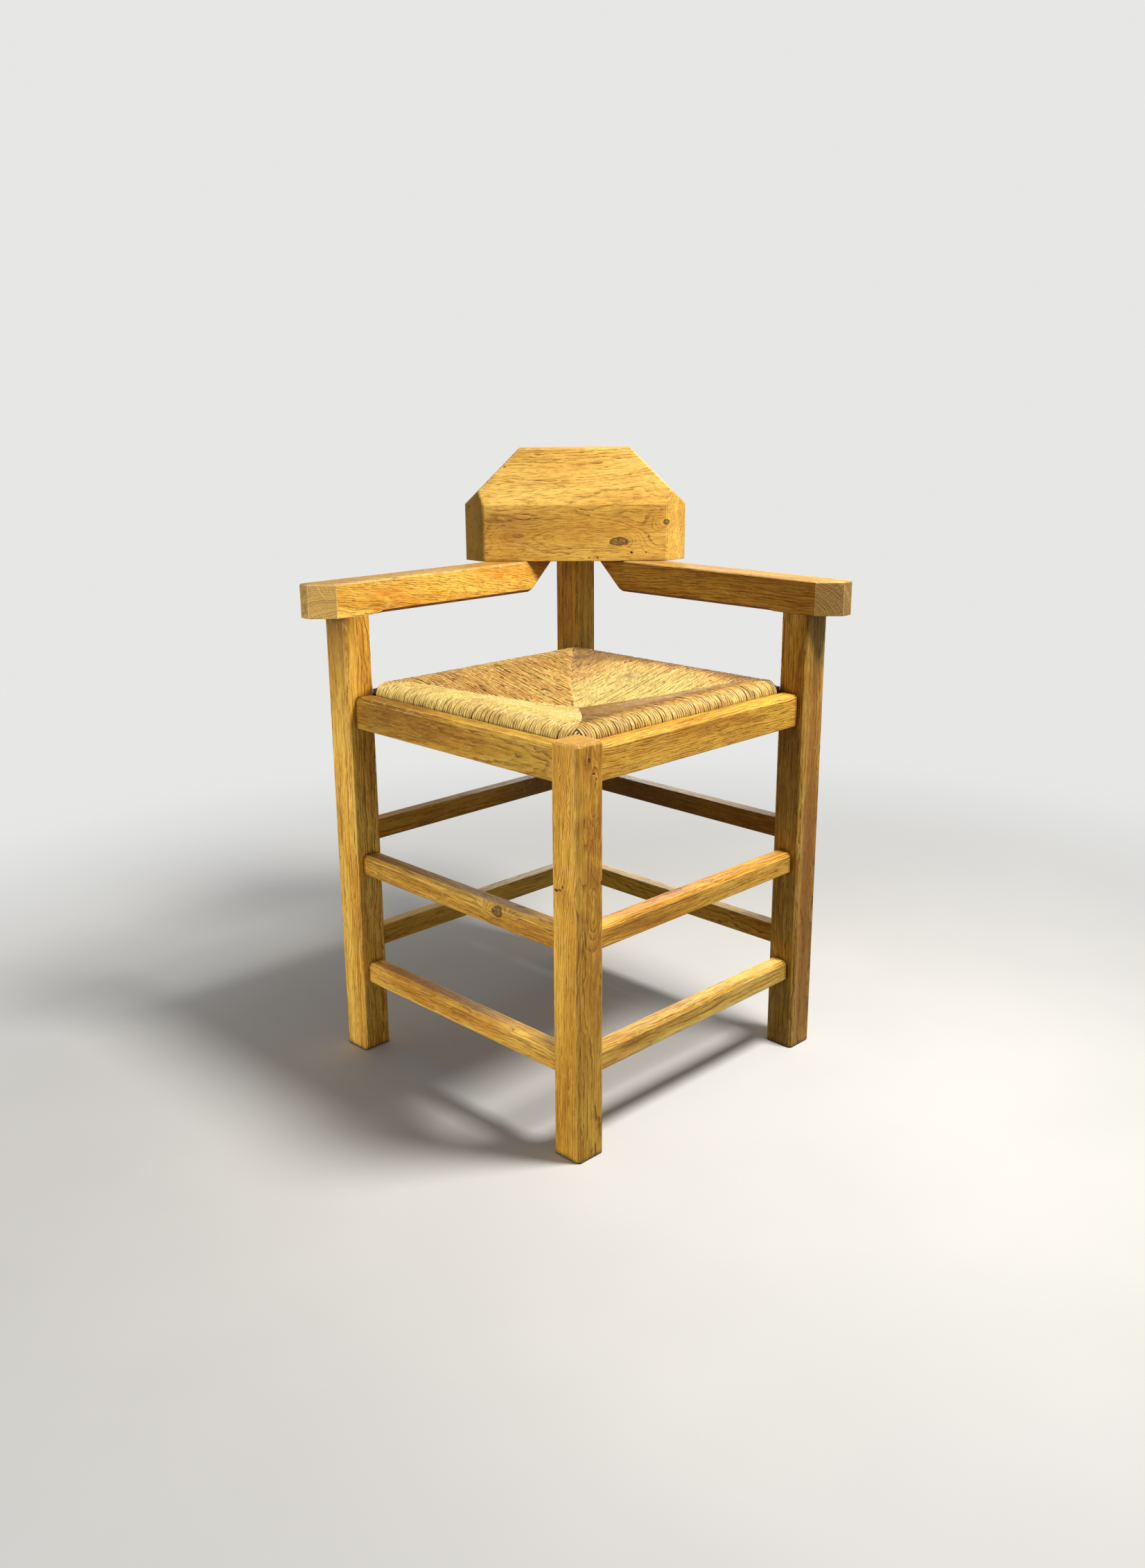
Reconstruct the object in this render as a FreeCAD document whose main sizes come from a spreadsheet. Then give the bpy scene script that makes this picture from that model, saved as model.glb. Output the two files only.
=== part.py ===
import FreeCAD, Part
import Sketcher
import math
import os
import re

# Oak corner chair with a drop-in rush seat.
# The chair stands on a square of four legs and is seen from one corner of that square.
# Row frame: X to the sitter's left-right, -Y towards the front leg, +Z up, origin on the floor
# under the middle of the square. The front leg is on -Y, the back post on +Y.

doc = FreeCAD.newDocument("corner_chair")

# Driving dimensions

SIZES = [
    ("leg_width", 38, "square section of the four legs"),
    ("leg_spacing", 372, "side of the square through the leg centres"),
    ("leg_bevel", 3, "bevel along the corners of each leg"),
    ("foot_bevel", 1.5, "bevel round the foot of each leg"),
    ("head_bevel", 2.5, "bevel round the top of the front leg and back post"),
    ("front_leg_height", 456, "top of the front leg"),
    ("arm_leg_height", 540, "shoulder of the side legs, where the arms sit"),
    ("post_rise", 97, "back post above the arms, behind the head block"),
    ("rail_drop", 9, "top of the seat rails below the top of the front leg"),
    ("rail_height", 37, "depth of a seat rail"),
    ("rail_thickness", 21, "thickness of a seat rail"),
    ("rail_setback", 10.5, "seat rail face behind the leg face"),
    ("rail_bevel", 3.5, "bevel along the top outer edge of a seat rail"),
    ("bar_height", 24, "depth of a stretcher"),
    ("bar_thickness", 19, "thickness of a stretcher"),
    ("bar_setback", 10.5, "stretcher face behind the leg face"),
    ("bar_bevel", 4, "bevel along the top outer edge of a stretcher"),
    ("front_low_level", 102.5, "middle of the lower front stretchers"),
    ("front_high_level", 242, "middle of the upper front stretchers"),
    ("back_low_level", 140.5, "middle of the lower back stretchers"),
    ("back_high_level", 278, "middle of the upper back stretchers"),
    ("tenon_thickness", 10, "thickness of the rail and stretcher tenons"),
    ("rail_tenon", 27, "height of a seat rail tenon"),
    ("bar_tenon", 18, "height of a stretcher tenon"),
    ("cheek_gap", 0.1, "clearance on each side of a tenon"),
    ("mitre_gap", 0.4, "half of the clearance between two mitred tenon ends"),
    ("arm_width", 38, "width of an arm"),
    ("arm_height", 39, "depth of an arm"),
    ("arm_overhang", 31, "arm beyond the outer face of its leg"),
    ("arm_corner", 23, "cut across the inner front corner of an arm"),
    ("arm_clearance", 63.5, "arm tip to the middle of the back post, along the arm"),
    ("undercut_run", 38, "length of the slanted cut below the arm tip"),
    ("tip_land", 3, "upright land left at the arm tip"),
    ("arm_ease", 1.5, "bevel round the top of an arm"),
    ("stop_bevel", 3.5, "stopped bevel below the inner edge of an arm"),
    ("stop_start", 10, "start of the stopped bevel behind the leg"),
    ("stop_run", 9, "run-out of the stopped bevel"),
    ("arm_tenon", 22, "square tenon on top of a side leg"),
    ("arm_tenon_height", 24, "height of that tenon"),
    ("end_gap", 1, "clearance beyond a tenon or dowel end"),
    ("block_width", 280, "width of the head block"),
    ("block_height", 138.5, "height of the head block"),
    ("block_depth", 72, "thickness of the head block at its foot"),
    ("block_reach", 87.8, "front face of the block to the middle of the back post"),
    ("side_bevel", 24, "bevel down each front corner of the block"),
    ("crease_height", 70, "foot of the sloped upper front of the block"),
    ("slope_recess", 22.5, "how far the upper front leans back"),
    ("corner_run", 69.4, "width of the cut across each top corner"),
    ("corner_rise", 68.4, "height of the cut across each top corner"),
    ("block_ease", 1.5, "bevel along the front edges of the block"),
    ("dowel_diameter", 10, "dowels between arms, post and block"),
    ("dowel_gap", 0.1, "radial clearance of a dowel in its hole"),
    ("arm_dowel_low", 14, "arm dowel in the arm"),
    ("arm_dowel_high", 24, "arm dowel in the block"),
    ("arm_dowel_back", 24, "arm dowels in front of the arm tip"),
    ("arm_dowel_spread", 8, "arm dowels either side of the arm's middle"),
    ("post_dowel_low", 28, "lower post dowel above the foot of the block"),
    ("post_dowel_high", 68, "upper post dowel above the foot of the block"),
    ("post_dowel_in", 24, "post dowel in the post"),
    ("post_dowel_out", 24, "post dowel in the block"),
    ("seat_gap", 0.4, "rush to the inner face of the seat rails"),
    ("rest_gap", 0.3, "rush above the corner braces"),
    ("rush_sink", 14, "underside of the rush below the top of the seat rails"),
    ("rush_height", 28, "rush seat at its rolled edge"),
    ("rush_roll", 17, "width of the rolled edge"),
    ("rush_dip", 31, "fall of the rush from the roll to the middle"),
    ("rush_sag", 14, "fall of the underside from the seat frame to the middle"),
    ("rush_middle", 5, "half width of the square where the four panels meet"),
    ("rush_side", 5.5, "rush outside the seat frame"),
    ("rush_under", 5.4, "rush below the seat frame"),
    ("rush_corner", 15.8, "cut across each corner of the rush, along the edge"),
    ("rush_fit", 0.3, "rush to the frame that it is wound on"),
    ("frame_width", 26, "width of a seat frame member"),
    ("frame_height", 14, "depth of a seat frame member"),
    ("frame_corner", 7, "cut across each corner of the seat frame"),
    ("frame_tenon", 6, "thickness of a seat frame tenon"),
    ("frame_tenon_width", 17, "width of a seat frame tenon"),
    ("frame_tenon_length", 18, "length of a seat frame tenon"),
    ("brace_reach", 45, "corner brace along each rail, beyond the leg"),
    ("brace_thickness", 19, "thickness of a corner brace"),
    ("screw_diameter", 4.5, "shank of a seat screw"),
    ("screw_length", 36, "seat screw below its head"),
    ("screw_tip", 5, "point of a seat screw"),
    ("screw_head", 9, "head diameter of a seat screw"),
    ("screw_head_height", 3, "dome of a seat screw"),
    ("screw_place", 30, "seat screw from the leg centre, along each rail"),
    ("screw_gap", 0.25, "radial clearance of a seat screw in brace and rush"),
    ("pilot_gap", 0.02, "radial clearance of a seat screw in the seat frame"),
]

sheet = doc.addObject("Spreadsheet::Sheet", "sizes")
for row, (alias, number, meaning) in enumerate(SIZES, start=1):
    sheet.set("A%d" % row, alias)
    sheet.set("B%d" % row, str(number))
    sheet.set("C%d" % row, meaning)
    sheet.setAlias("B%d" % row, alias)
doc.recompute()

ALIASES = {alias for alias, number, meaning in SIZES}

# Lengths that several pieces share, as expressions of the driving dimensions

HALF_LEG = "leg_width / 2"
HALF_SPACING = "leg_spacing / 2"
CORNER_RADIUS = "(leg_spacing / sqrt(2))"
RAIL_LINE = "(rail_setback + rail_thickness / 2 - leg_width / 2)"
BAR_LINE = "(bar_setback + bar_thickness / 2 - leg_width / 2)"
RAIL_TOP = "(front_leg_height - rail_drop)"
RAIL_LEVEL = "(%s - rail_height / 2)" % RAIL_TOP
RAIL_INNER = "(rail_setback + rail_thickness - leg_width / 2)"
SEAT_HALF = "(leg_spacing / 2 - rail_setback - rail_thickness + leg_width / 2 - seat_gap)"
FRAME_HALF = "(%s - rush_side)" % SEAT_HALF
RUSH_BOTTOM = "(%s - rush_sink)" % RAIL_TOP
FRAME_BOTTOM = "(%s + rush_under)" % RUSH_BOTTOM
FRAME_LEVEL = "(%s + frame_height / 2)" % FRAME_BOTTOM
ARM_TIP = "(leg_spacing - arm_clearance)"
BLOCK_BOTTOM = "(arm_leg_height + arm_height)"
POST_HEIGHT = "(%s + post_rise)" % BLOCK_BOTTOM
BLOCK_FRONT = "(leg_spacing / sqrt(2) - block_reach)"
BRACE_TOP = "(%s - rest_gap)" % RUSH_BOTTOM
NOTCH_APEX = "(block_reach - leg_width / sqrt(2))"
PANEL_RINGS = 8
UNDER_RINGS = 3
ROLL_STEPS = 8


def linked(expression):
    """Point every alias in an expression at the sheet."""
    def swap(match):
        word = match.group()
        return "sizes." + word if word in ALIASES else word
    return re.sub(r"[a-z][a-z_]*", swap, expression)


def value(expression):
    """Number that an expression has now."""
    number = sheet.evalExpression(linked(expression))
    return float(getattr(number, "Value", number))


def bind(thing, prop, expression):
    """Bind a property to the sheet."""
    thing.setExpression(prop, linked(expression))


def new_body(name, several=False):
    """Body with its own label; several allows a group of separate solids."""
    body = doc.addObject("PartDesign::Body", name)
    body.Label = name
    body.AllowCompound = several
    return body


def place(body, turn, radius="0", heading=0, level="0"):
    """Turn a body about Z, then set it out from the middle of the chair."""
    body.Placement = FreeCAD.Placement(FreeCAD.Vector(0, 0, 0), FreeCAD.Rotation(turn, 0, 0))
    bind(body, "Placement.Base.x", "(%s) * cos(%s deg)" % (radius, heading))
    bind(body, "Placement.Base.y", "(%s) * sin(%s deg)" % (radius, heading))
    bind(body, "Placement.Base.z", level)


def origin_plane(body, role):
    """One of the body's own origin planes."""
    return next(item for item in body.Origin.OriginFeatures if item.Role == role)


def new_sketch(body, name, role, lift="0"):
    """Sketch on an origin plane, lifted along the plane's normal."""
    sketch = body.newObject("Sketcher::SketchObject", name)
    sketch.AttachmentSupport = [(origin_plane(body, role), "")]
    sketch.MapMode = "FlatFace"
    bind(sketch, "AttachmentOffset.Base.z", lift)
    return sketch


def pin_point(sketch, edge, end, across, up):
    """Hold one point of a sketch at expressions measured from the origin."""
    for kind, expression in (("DistanceX", across), ("DistanceY", up)):
        rule = Sketcher.Constraint(kind, -1, 1, edge, end, value(expression))
        index = sketch.addConstraint(rule)
        bind(sketch, "Constraints[%d]" % index, expression)


def draw_outline(sketch, points):
    """Closed straight-sided outline through points given as pairs of expressions."""
    first = sketch.GeometryCount
    corners = [FreeCAD.Vector(value(across), value(up), 0) for across, up in points]
    count = len(corners)
    for index in range(count):
        edge = Part.LineSegment(corners[index], corners[(index + 1) % count])
        sketch.addGeometry(edge, False)
    for index in range(count):
        following = first + (index + 1) % count
        sketch.addConstraint(Sketcher.Constraint("Coincident", first + index, 2, following, 1))
    for index, (across, up) in enumerate(points):
        pin_point(sketch, first + index, 1, across, up)


def draw_circle(sketch, across, up, diameter):
    """Circle held at a point, with a bound diameter."""
    centre = FreeCAD.Vector(value(across), value(up), 0)
    circle = Part.Circle(centre, FreeCAD.Vector(0, 0, 1), value(diameter) / 2)
    edge = sketch.addGeometry(circle, False)
    pin_point(sketch, edge, 3, across, up)
    index = sketch.addConstraint(Sketcher.Constraint("Diameter", edge, value(diameter)))
    bind(sketch, "Constraints[%d]" % index, diameter)


def add_pad(body, name, sketch, length, symmetric=False):
    """Pad of a sketch, one way or both ways."""
    pad = body.newObject("PartDesign::Pad", name)
    pad.Profile = sketch
    bind(pad, "Length", length)
    pad.SideType = "Symmetric" if symmetric else "One side"
    pad.Refine = True
    doc.recompute()
    return pad


def cut_both_ways(body, name, sketch, length):
    """Pocket that reaches half its length to each side of the sketch."""
    pocket = body.newObject("PartDesign::Pocket", name)
    pocket.Profile = sketch
    pocket.SideType = "Symmetric"
    bind(pocket, "Length", length)
    doc.recompute()
    return pocket


def flat_faces(shape, axis, height):
    """Names of the faces that look along an axis at a height on it."""
    names = []
    for index, face in enumerate(shape.Faces, start=1):
        normal = face.normalAt(0, 0)
        level = face.CenterOfMass.dot(axis)
        if abs(normal.dot(axis)) > 0.999 and abs(level - height) < 1e-4:
            names.append("Face%d" % index)
    return names


def bevel(body, name, base, edges, size):
    """Chamfer on faces or edges of the feature before it."""
    chamfer = body.newObject("PartDesign::Chamfer", name)
    chamfer.Base = (base, edges)
    bind(chamfer, "Size", size)
    doc.recompute()
    return chamfer


# Legs
# Local frame of a leg: origin under its middle, members enter through its +X and +Y faces.

UP = FreeCAD.Vector(0, 0, 1)


def leg_section(body):
    """Square section with its four corners bevelled."""
    sketch = new_sketch(body, body.Name + "_section", "XY_Plane")
    near = "(leg_width / 2 - leg_bevel)"
    far = "(leg_width / 2)"
    outline = [(near, "-" + far), (far, "-" + near), (far, near), (near, far)]
    outline += [("-" + near, far), ("-" + far, near), ("-" + far, "-" + near), ("-" + near, "-" + far)]
    draw_outline(sketch, outline)
    return sketch


def cut_mortise(body, side, label, line, level, height):
    """Mortise through the +X or +Y face, deep enough for the long point of a mitred tenon."""
    low = "(%s - tenon_thickness / 2 - cheek_gap)" % line
    high = "(%s + tenon_thickness / 2 + cheek_gap)" % line
    deep = "(%s - tenon_thickness / 2 - end_gap)" % line
    mouth = "(leg_width / 2)"
    corners = [(deep, low), (mouth, low), (mouth, high), (deep, high)]
    if side == "y":
        corners = [(up, across) for across, up in corners]
    name = "%s_%s_mortise" % (body.Name, label)
    sketch = new_sketch(body, name + "_plan", "XY_Plane", level)
    draw_outline(sketch, corners)
    cut_both_ways(body, name, sketch, "%s + 2 * cheek_gap" % height)


def make_leg(name, quarter, height, bar_levels, bevelled_head=True):
    """Leg at one corner of the square; bar_levels lists the stretchers in each face."""
    body = new_body(name)
    pad = add_pad(body, name + "_blank", leg_section(body), height)
    foot = flat_faces(pad.Shape, UP, 0)
    last = bevel(body, name + "_foot", pad, foot, "foot_bevel")
    if bevelled_head:
        head = flat_faces(last.Shape, UP, value(height))
        last = bevel(body, name + "_head", last, head, "head_bevel")
    for side in ("x", "y"):
        cut_mortise(body, side, "rail_" + side, RAIL_LINE, RAIL_LEVEL, "rail_tenon")
        for order, level in enumerate(bar_levels[side], start=1):
            label = "bar_%s%d" % (side, order)
            cut_mortise(body, side, label, BAR_LINE, level, "bar_tenon")
    place(body, 45 + 90 * quarter, CORNER_RADIUS, 90 * quarter - 90)
    return body


def add_leg_tenon(body):
    """Square tenon that carries an arm."""
    half = "(arm_tenon / 2)"
    sketch = new_sketch(body, body.Name + "_tenon_plan", "XY_Plane", "arm_leg_height")
    draw_outline(sketch, [("-" + half, "-" + half), (half, "-" + half), (half, half), ("-" + half, half)])
    add_pad(body, body.Name + "_tenon", sketch, "arm_tenon_height")


def drill_post(body):
    """Two dowel holes along the diagonal of the back post, from the corner that meets the block."""
    sketch = new_sketch(body, "post_holes_plan", "XZ_Plane")
    sketch.AttachmentOffset = FreeCAD.Placement(FreeCAD.Vector(0, 0, 0), FreeCAD.Rotation(0, -45, 0))
    bind(sketch, "AttachmentOffset.Base.x", HALF_LEG)
    bind(sketch, "AttachmentOffset.Base.z", "-" + HALF_LEG)
    for rise in ("post_dowel_low", "post_dowel_high"):
        draw_circle(sketch, "0", "%s + %s" % (BLOCK_BOTTOM, rise), "dowel_diameter + 2 * dowel_gap")
    cut_both_ways(body, "post_holes", sketch, "2 * (post_dowel_in + end_gap)")


FRONT_LEVELS = ["front_low_level", "front_high_level"]
BACK_LEVELS = ["back_low_level", "back_high_level"]

make_leg("front_leg", 0, "front_leg_height", {"x": FRONT_LEVELS, "y": FRONT_LEVELS})
right_leg = make_leg("right_leg", 1, "arm_leg_height", {"x": BACK_LEVELS, "y": FRONT_LEVELS}, False)
add_leg_tenon(right_leg)
back_post = make_leg("back_post", 2, POST_HEIGHT, {"x": BACK_LEVELS, "y": BACK_LEVELS})
drill_post(back_post)
left_leg = make_leg("left_leg", 3, "arm_leg_height", {"x": FRONT_LEVELS, "y": BACK_LEVELS}, False)
add_leg_tenon(left_leg)


# Seat rails and stretchers
# Local frame of a member: X along it, -Y its outer side, origin in the middle of its tenons.

def make_member(name, quarter, level, line, height, thickness, bevel_size, tenon_height):
    """Rail or stretcher between two legs, with mitred tenons that meet inside each leg."""
    body = new_body(name)
    half = "(%s / 2)" % thickness
    top = "(%s / 2)" % height
    section = new_sketch(body, name + "_section", "YZ_Plane")
    outline = [("-" + half, "-" + top), (half, "-" + top), (half, top)]
    outline += [("%s - %s" % (bevel_size, half), top), ("-" + half, "%s - %s" % (top, bevel_size))]
    draw_outline(section, outline)
    add_pad(body, name + "_bar", section, "leg_spacing - leg_width", symmetric=True)
    cheek = "(tenon_thickness / 2)"
    long_end = "(leg_spacing / 2 - %s + tenon_thickness / 2 - mitre_gap)" % line
    short_end = "(leg_spacing / 2 - %s - tenon_thickness / 2 - mitre_gap)" % line
    plan = new_sketch(body, name + "_tenon_plan", "XY_Plane")
    ends = [("-" + long_end, "-" + cheek), (long_end, "-" + cheek)]
    ends += [(short_end, cheek), ("-" + short_end, cheek)]
    draw_outline(plan, ends)
    add_pad(body, name + "_tenons", plan, tenon_height, symmetric=True)
    place(body, 45 + 90 * quarter, "%s - %s" % (HALF_SPACING, line), 90 * quarter - 45, level)
    return body


SIDES = ["front_right", "back_right", "back_left", "front_left"]
for quarter, side in enumerate(SIDES):
    make_member(side + "_seat_rail", quarter, RAIL_LEVEL, RAIL_LINE,
                "rail_height", "rail_thickness", "rail_bevel", "rail_tenon")
    low, high = FRONT_LEVELS if side.startswith("front") else BACK_LEVELS
    make_member(side + "_lower_stretcher", quarter, low, BAR_LINE,
                "bar_height", "bar_thickness", "bar_bevel", "bar_tenon")
    make_member(side + "_upper_stretcher", quarter, high, BAR_LINE,
                "bar_height", "bar_thickness", "bar_bevel", "bar_tenon")


# Arms
# Local frame of an arm: X towards the back post, origin over the middle of its leg, foot of the
# arm at Z zero. The sitter's side is -Y on the left arm and +Y on the right arm.

def signed(sign, expression):
    """Expression on one side or the other."""
    return expression if sign > 0 else "-(%s)" % expression


def arm_plan(body, inner):
    """Plan of an arm, with its inner front corner cut across."""
    sketch = new_sketch(body, body.Name + "_plan", "XY_Plane")
    front = "(-(leg_width / 2) - arm_overhang)"
    side = "(arm_width / 2)"
    outline = [(front, signed(-inner, side)), (front, signed(inner, "arm_width / 2 - arm_corner"))]
    outline += [("%s + arm_corner" % front, signed(inner, side))]
    outline += [(ARM_TIP, signed(inner, side)), (ARM_TIP, signed(-inner, side))]
    draw_outline(sketch, outline)
    return sketch


def undercut_arm(body):
    """Slanted cut below the tip of the arm, under the head block."""
    sketch = new_sketch(body, body.Name + "_undercut_side", "XZ_Plane")
    foot = "(%s - undercut_run)" % ARM_TIP
    draw_outline(sketch, [(foot, "0"), (ARM_TIP, "0"), (ARM_TIP, "arm_height - tip_land")])
    cut_both_ways(body, body.Name + "_undercut", sketch, "arm_width + 2")


def stop_chamfer(body, inner):
    """Bevel below the inner edge that runs out before it reaches the leg."""
    sketch = new_sketch(body, body.Name + "_stop_side", "XZ_Plane")
    turn = -45 if inner < 0 else 45
    sketch.AttachmentOffset = FreeCAD.Placement(FreeCAD.Vector(0, 0, 0), FreeCAD.Rotation(0, 0, turn))
    bind(sketch, "AttachmentOffset.Base.z", signed(-inner, "arm_width / 2"))
    start = "(leg_width / 2 + stop_start)"
    depth = "(stop_bevel / sqrt(2))"
    outline = [(start, "0"), ("%s + stop_run" % start, depth), (ARM_TIP, depth), (ARM_TIP, "0")]
    draw_outline(sketch, outline)
    cut_both_ways(body, body.Name + "_stop_bevel", sketch, "4 * stop_bevel")


def drill_arm(body):
    """Two dowel holes up into the head block and a square mortise over the leg."""
    holes = new_sketch(body, body.Name + "_holes_plan", "XY_Plane", "arm_height")
    for side in ("-arm_dowel_spread", "arm_dowel_spread"):
        draw_circle(holes, "%s - arm_dowel_back" % ARM_TIP, side, "dowel_diameter + 2 * dowel_gap")
    cut_both_ways(body, body.Name + "_holes", holes, "2 * (arm_dowel_low + end_gap)")
    half = "(arm_tenon / 2 + cheek_gap)"
    mortise = new_sketch(body, body.Name + "_mortise_plan", "XY_Plane")
    draw_outline(mortise, [("-" + half, "-" + half), (half, "-" + half), (half, half), ("-" + half, half)])
    cut_both_ways(body, body.Name + "_mortise", mortise, "2 * (arm_tenon_height + end_gap)")


def make_arm(name, inner, turn, heading):
    """Arm over a side leg; inner is the sign of its inner side on the local Y axis."""
    body = new_body(name)
    pad = add_pad(body, name + "_blank", arm_plan(body, inner), "arm_height")
    top = flat_faces(pad.Shape, UP, value("arm_height"))
    bevel(body, name + "_ease", pad, top, "arm_ease")
    undercut_arm(body)
    stop_chamfer(body, inner)
    drill_arm(body)
    place(body, turn, CORNER_RADIUS, heading, "arm_leg_height")
    return body


make_arm("left_arm", -1, 45, 180)
make_arm("right_arm", 1, 135, 0)


# Head block
# Local frame: X across, Y from the front face to the back, origin at the foot of the front face.

def block_edges(shape):
    """Front edges that are eased: crease ends, slopes, side bevels and the top front edge."""
    names = []
    depth = value("side_bevel")
    for index, edge in enumerate(shape.Edges, start=1):
        ends = [vertex.Point for vertex in edge.Vertexes]
        shallow = max(point.y for point in ends) < depth + 0.01
        on_foot = max(point.z for point in ends) < 0.01
        crease = value("crease_height")
        on_crease = all(abs(point.z - crease) < 0.01 for point in ends) and ends[0].y < 0.01
        if shallow and not on_foot and not on_crease:
            names.append("Edge%d" % index)
    return names


def block_blank(body):
    """Thick block with bevelled front corners, cut top corners and a sloped upper front."""
    side = "(block_width / 2)"
    shoulder = "(block_width / 2 - side_bevel)"
    plan = new_sketch(body, "block_plan", "XY_Plane")
    outline = [("-" + shoulder, "0"), (shoulder, "0"), (side, "side_bevel"), (side, "block_depth")]
    outline += [("-" + side, "block_depth"), ("-" + side, "side_bevel")]
    draw_outline(plan, outline)
    add_pad(body, "block_blank", plan, "block_height")
    corners = new_sketch(body, "block_corners_front", "XZ_Plane")
    head = "(block_width / 2 - corner_run)"
    for sign in (1, -1):
        cut = [(signed(sign, head), "block_height"), (signed(sign, side), "block_height - corner_rise")]
        cut += [(signed(sign, side), "block_height")]
        draw_outline(corners, cut)
    cut_both_ways(body, "block_corners", corners, "2 * block_depth + 2")
    slope = new_sketch(body, "block_slope_side", "YZ_Plane")
    draw_outline(slope, [("0", "crease_height"), ("slope_recess", "block_height"), ("0", "block_height")])
    return cut_both_ways(body, "block_slope", slope, "block_width + 2")


def notch_block(body):
    """Vee in the back that seats on the two front faces of the back post."""
    sketch = new_sketch(body, "block_notch_plan", "XY_Plane")
    reach = "(block_depth - %s)" % NOTCH_APEX
    outline = [("0", NOTCH_APEX), (reach, "block_depth"), ("-" + reach, "block_depth")]
    draw_outline(sketch, outline)
    cut_both_ways(body, "block_notch", sketch, "2 * block_height + 2")


def drill_block(body):
    """Dowel holes up from the arms and forward from the back post."""
    plan = new_sketch(body, "block_arm_holes_plan", "XY_Plane")
    along = "(%s - arm_dowel_back)" % ARM_TIP
    for sign in (-1, 1):
        for spread in ("-arm_dowel_spread", "+ arm_dowel_spread"):
            across = "((%s %s) / sqrt(2) - %s)" % (along, spread, CORNER_RADIUS)
            other = "-arm_dowel_spread" if spread.startswith("+") else "+ arm_dowel_spread"
            ahead = "((%s %s) / sqrt(2) - %s)" % (along, other, BLOCK_FRONT)
            draw_circle(plan, signed(-sign, across), ahead, "dowel_diameter + 2 * dowel_gap")
    cut_both_ways(body, "block_arm_holes", plan, "2 * (arm_dowel_high + end_gap)")
    back = new_sketch(body, "block_post_holes_front", "XZ_Plane", "-" + NOTCH_APEX)
    for rise in ("post_dowel_low", "post_dowel_high"):
        draw_circle(back, "0", rise, "dowel_diameter + 2 * dowel_gap")
    cut_both_ways(body, "block_post_holes", back, "2 * (post_dowel_out + end_gap)")


head_block = new_body("head_block")
blank = block_blank(head_block)
bevel(head_block, "block_ease", blank, block_edges(blank.Shape), "block_ease")
notch_block(head_block)
drill_block(head_block)
place(head_block, 0, BLOCK_FRONT, 90, BLOCK_BOTTOM)


# Dowels, each node a group of separate solids

def make_arm_dowels(name, turn, heading):
    """Two dowels from an arm up into the block."""
    body = new_body(name, several=True)
    plan = new_sketch(body, name + "_plan", "XY_Plane", "arm_height - arm_dowel_low")
    for side in ("-arm_dowel_spread", "arm_dowel_spread"):
        draw_circle(plan, "%s - arm_dowel_back" % ARM_TIP, side, "dowel_diameter")
    add_pad(body, name + "_pins", plan, "arm_dowel_low + arm_dowel_high")
    place(body, turn, CORNER_RADIUS, heading, "arm_leg_height")
    return body


make_arm_dowels("left_arm_dowels", 45, 180)
make_arm_dowels("right_arm_dowels", 135, 0)

post_dowels = new_body("back_post_dowels", several=True)
post_plan = new_sketch(post_dowels, "post_dowels_front", "XZ_Plane")
for rise in ("post_dowel_low", "post_dowel_high"):
    draw_circle(post_plan, "0", rise, "dowel_diameter")
add_pad(post_dowels, "post_dowels_pins", post_plan, "post_dowel_in + post_dowel_out", symmetric=True)
place(post_dowels, 0, "%s + %s" % (BLOCK_FRONT, NOTCH_APEX), 90, BLOCK_BOTTOM)


# Seat frame inside the rush
# Local frame of a member: X along it, -Y its outer side, Z at mid depth.

def make_frame_side(name, quarter):
    """Full-length member with cut corners and two mortises."""
    body = new_body(name)
    plan = new_sketch(body, name + "_plan", "XY_Plane")
    end = FRAME_HALF
    outer = "(-frame_width / 2)"
    inner = "(frame_width / 2)"
    outline = [("-(%s - frame_corner)" % end, outer), ("%s - frame_corner" % end, outer)]
    outline += [(end, "%s + frame_corner" % outer), (end, inner)]
    outline += [("-" + end, inner), ("-" + end, "%s + frame_corner" % outer)]
    draw_outline(plan, outline)
    add_pad(body, name + "_bar", plan, "frame_height", symmetric=True)
    holes = new_sketch(body, name + "_mortise_plan", "XY_Plane")
    depth = "(frame_width / 2 - frame_tenon_length - end_gap)"
    for sign in (-1, 1):
        near = signed(sign, "%s - frame_width / 2 - frame_tenon_width / 2 - cheek_gap" % end)
        far = signed(sign, "%s - frame_width / 2 + frame_tenon_width / 2 + cheek_gap" % end)
        draw_outline(holes, [(near, depth), (far, depth), (far, inner), (near, inner)])
    cut_both_ways(body, name + "_mortises", holes, "frame_tenon + 2 * cheek_gap")
    place(body, 45 + 90 * quarter, "%s - frame_width / 2" % FRAME_HALF, 90 * quarter - 45, FRAME_LEVEL)
    return body


def make_frame_cross(name, quarter):
    """Shorter member with a tenon at each end."""
    body = new_body(name)
    plan = new_sketch(body, name + "_plan", "XY_Plane")
    end = "(%s - frame_width)" % FRAME_HALF
    half = "(frame_width / 2)"
    draw_outline(plan, [("-" + end, "-" + half), (end, "-" + half), (end, half), ("-" + end, half)])
    add_pad(body, name + "_bar", plan, "frame_height", symmetric=True)
    tenons = new_sketch(body, name + "_tenon_plan", "XY_Plane")
    tip = "(%s + frame_tenon_length)" % end
    wide = "(frame_tenon_width / 2)"
    draw_outline(tenons, [("-" + tip, "-" + wide), (tip, "-" + wide), (tip, wide), ("-" + tip, wide)])
    add_pad(body, name + "_tenons", tenons, "frame_tenon", symmetric=True)
    place(body, 45 + 90 * quarter, "%s - frame_width / 2" % FRAME_HALF, 90 * quarter - 45, FRAME_LEVEL)
    return body


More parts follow.
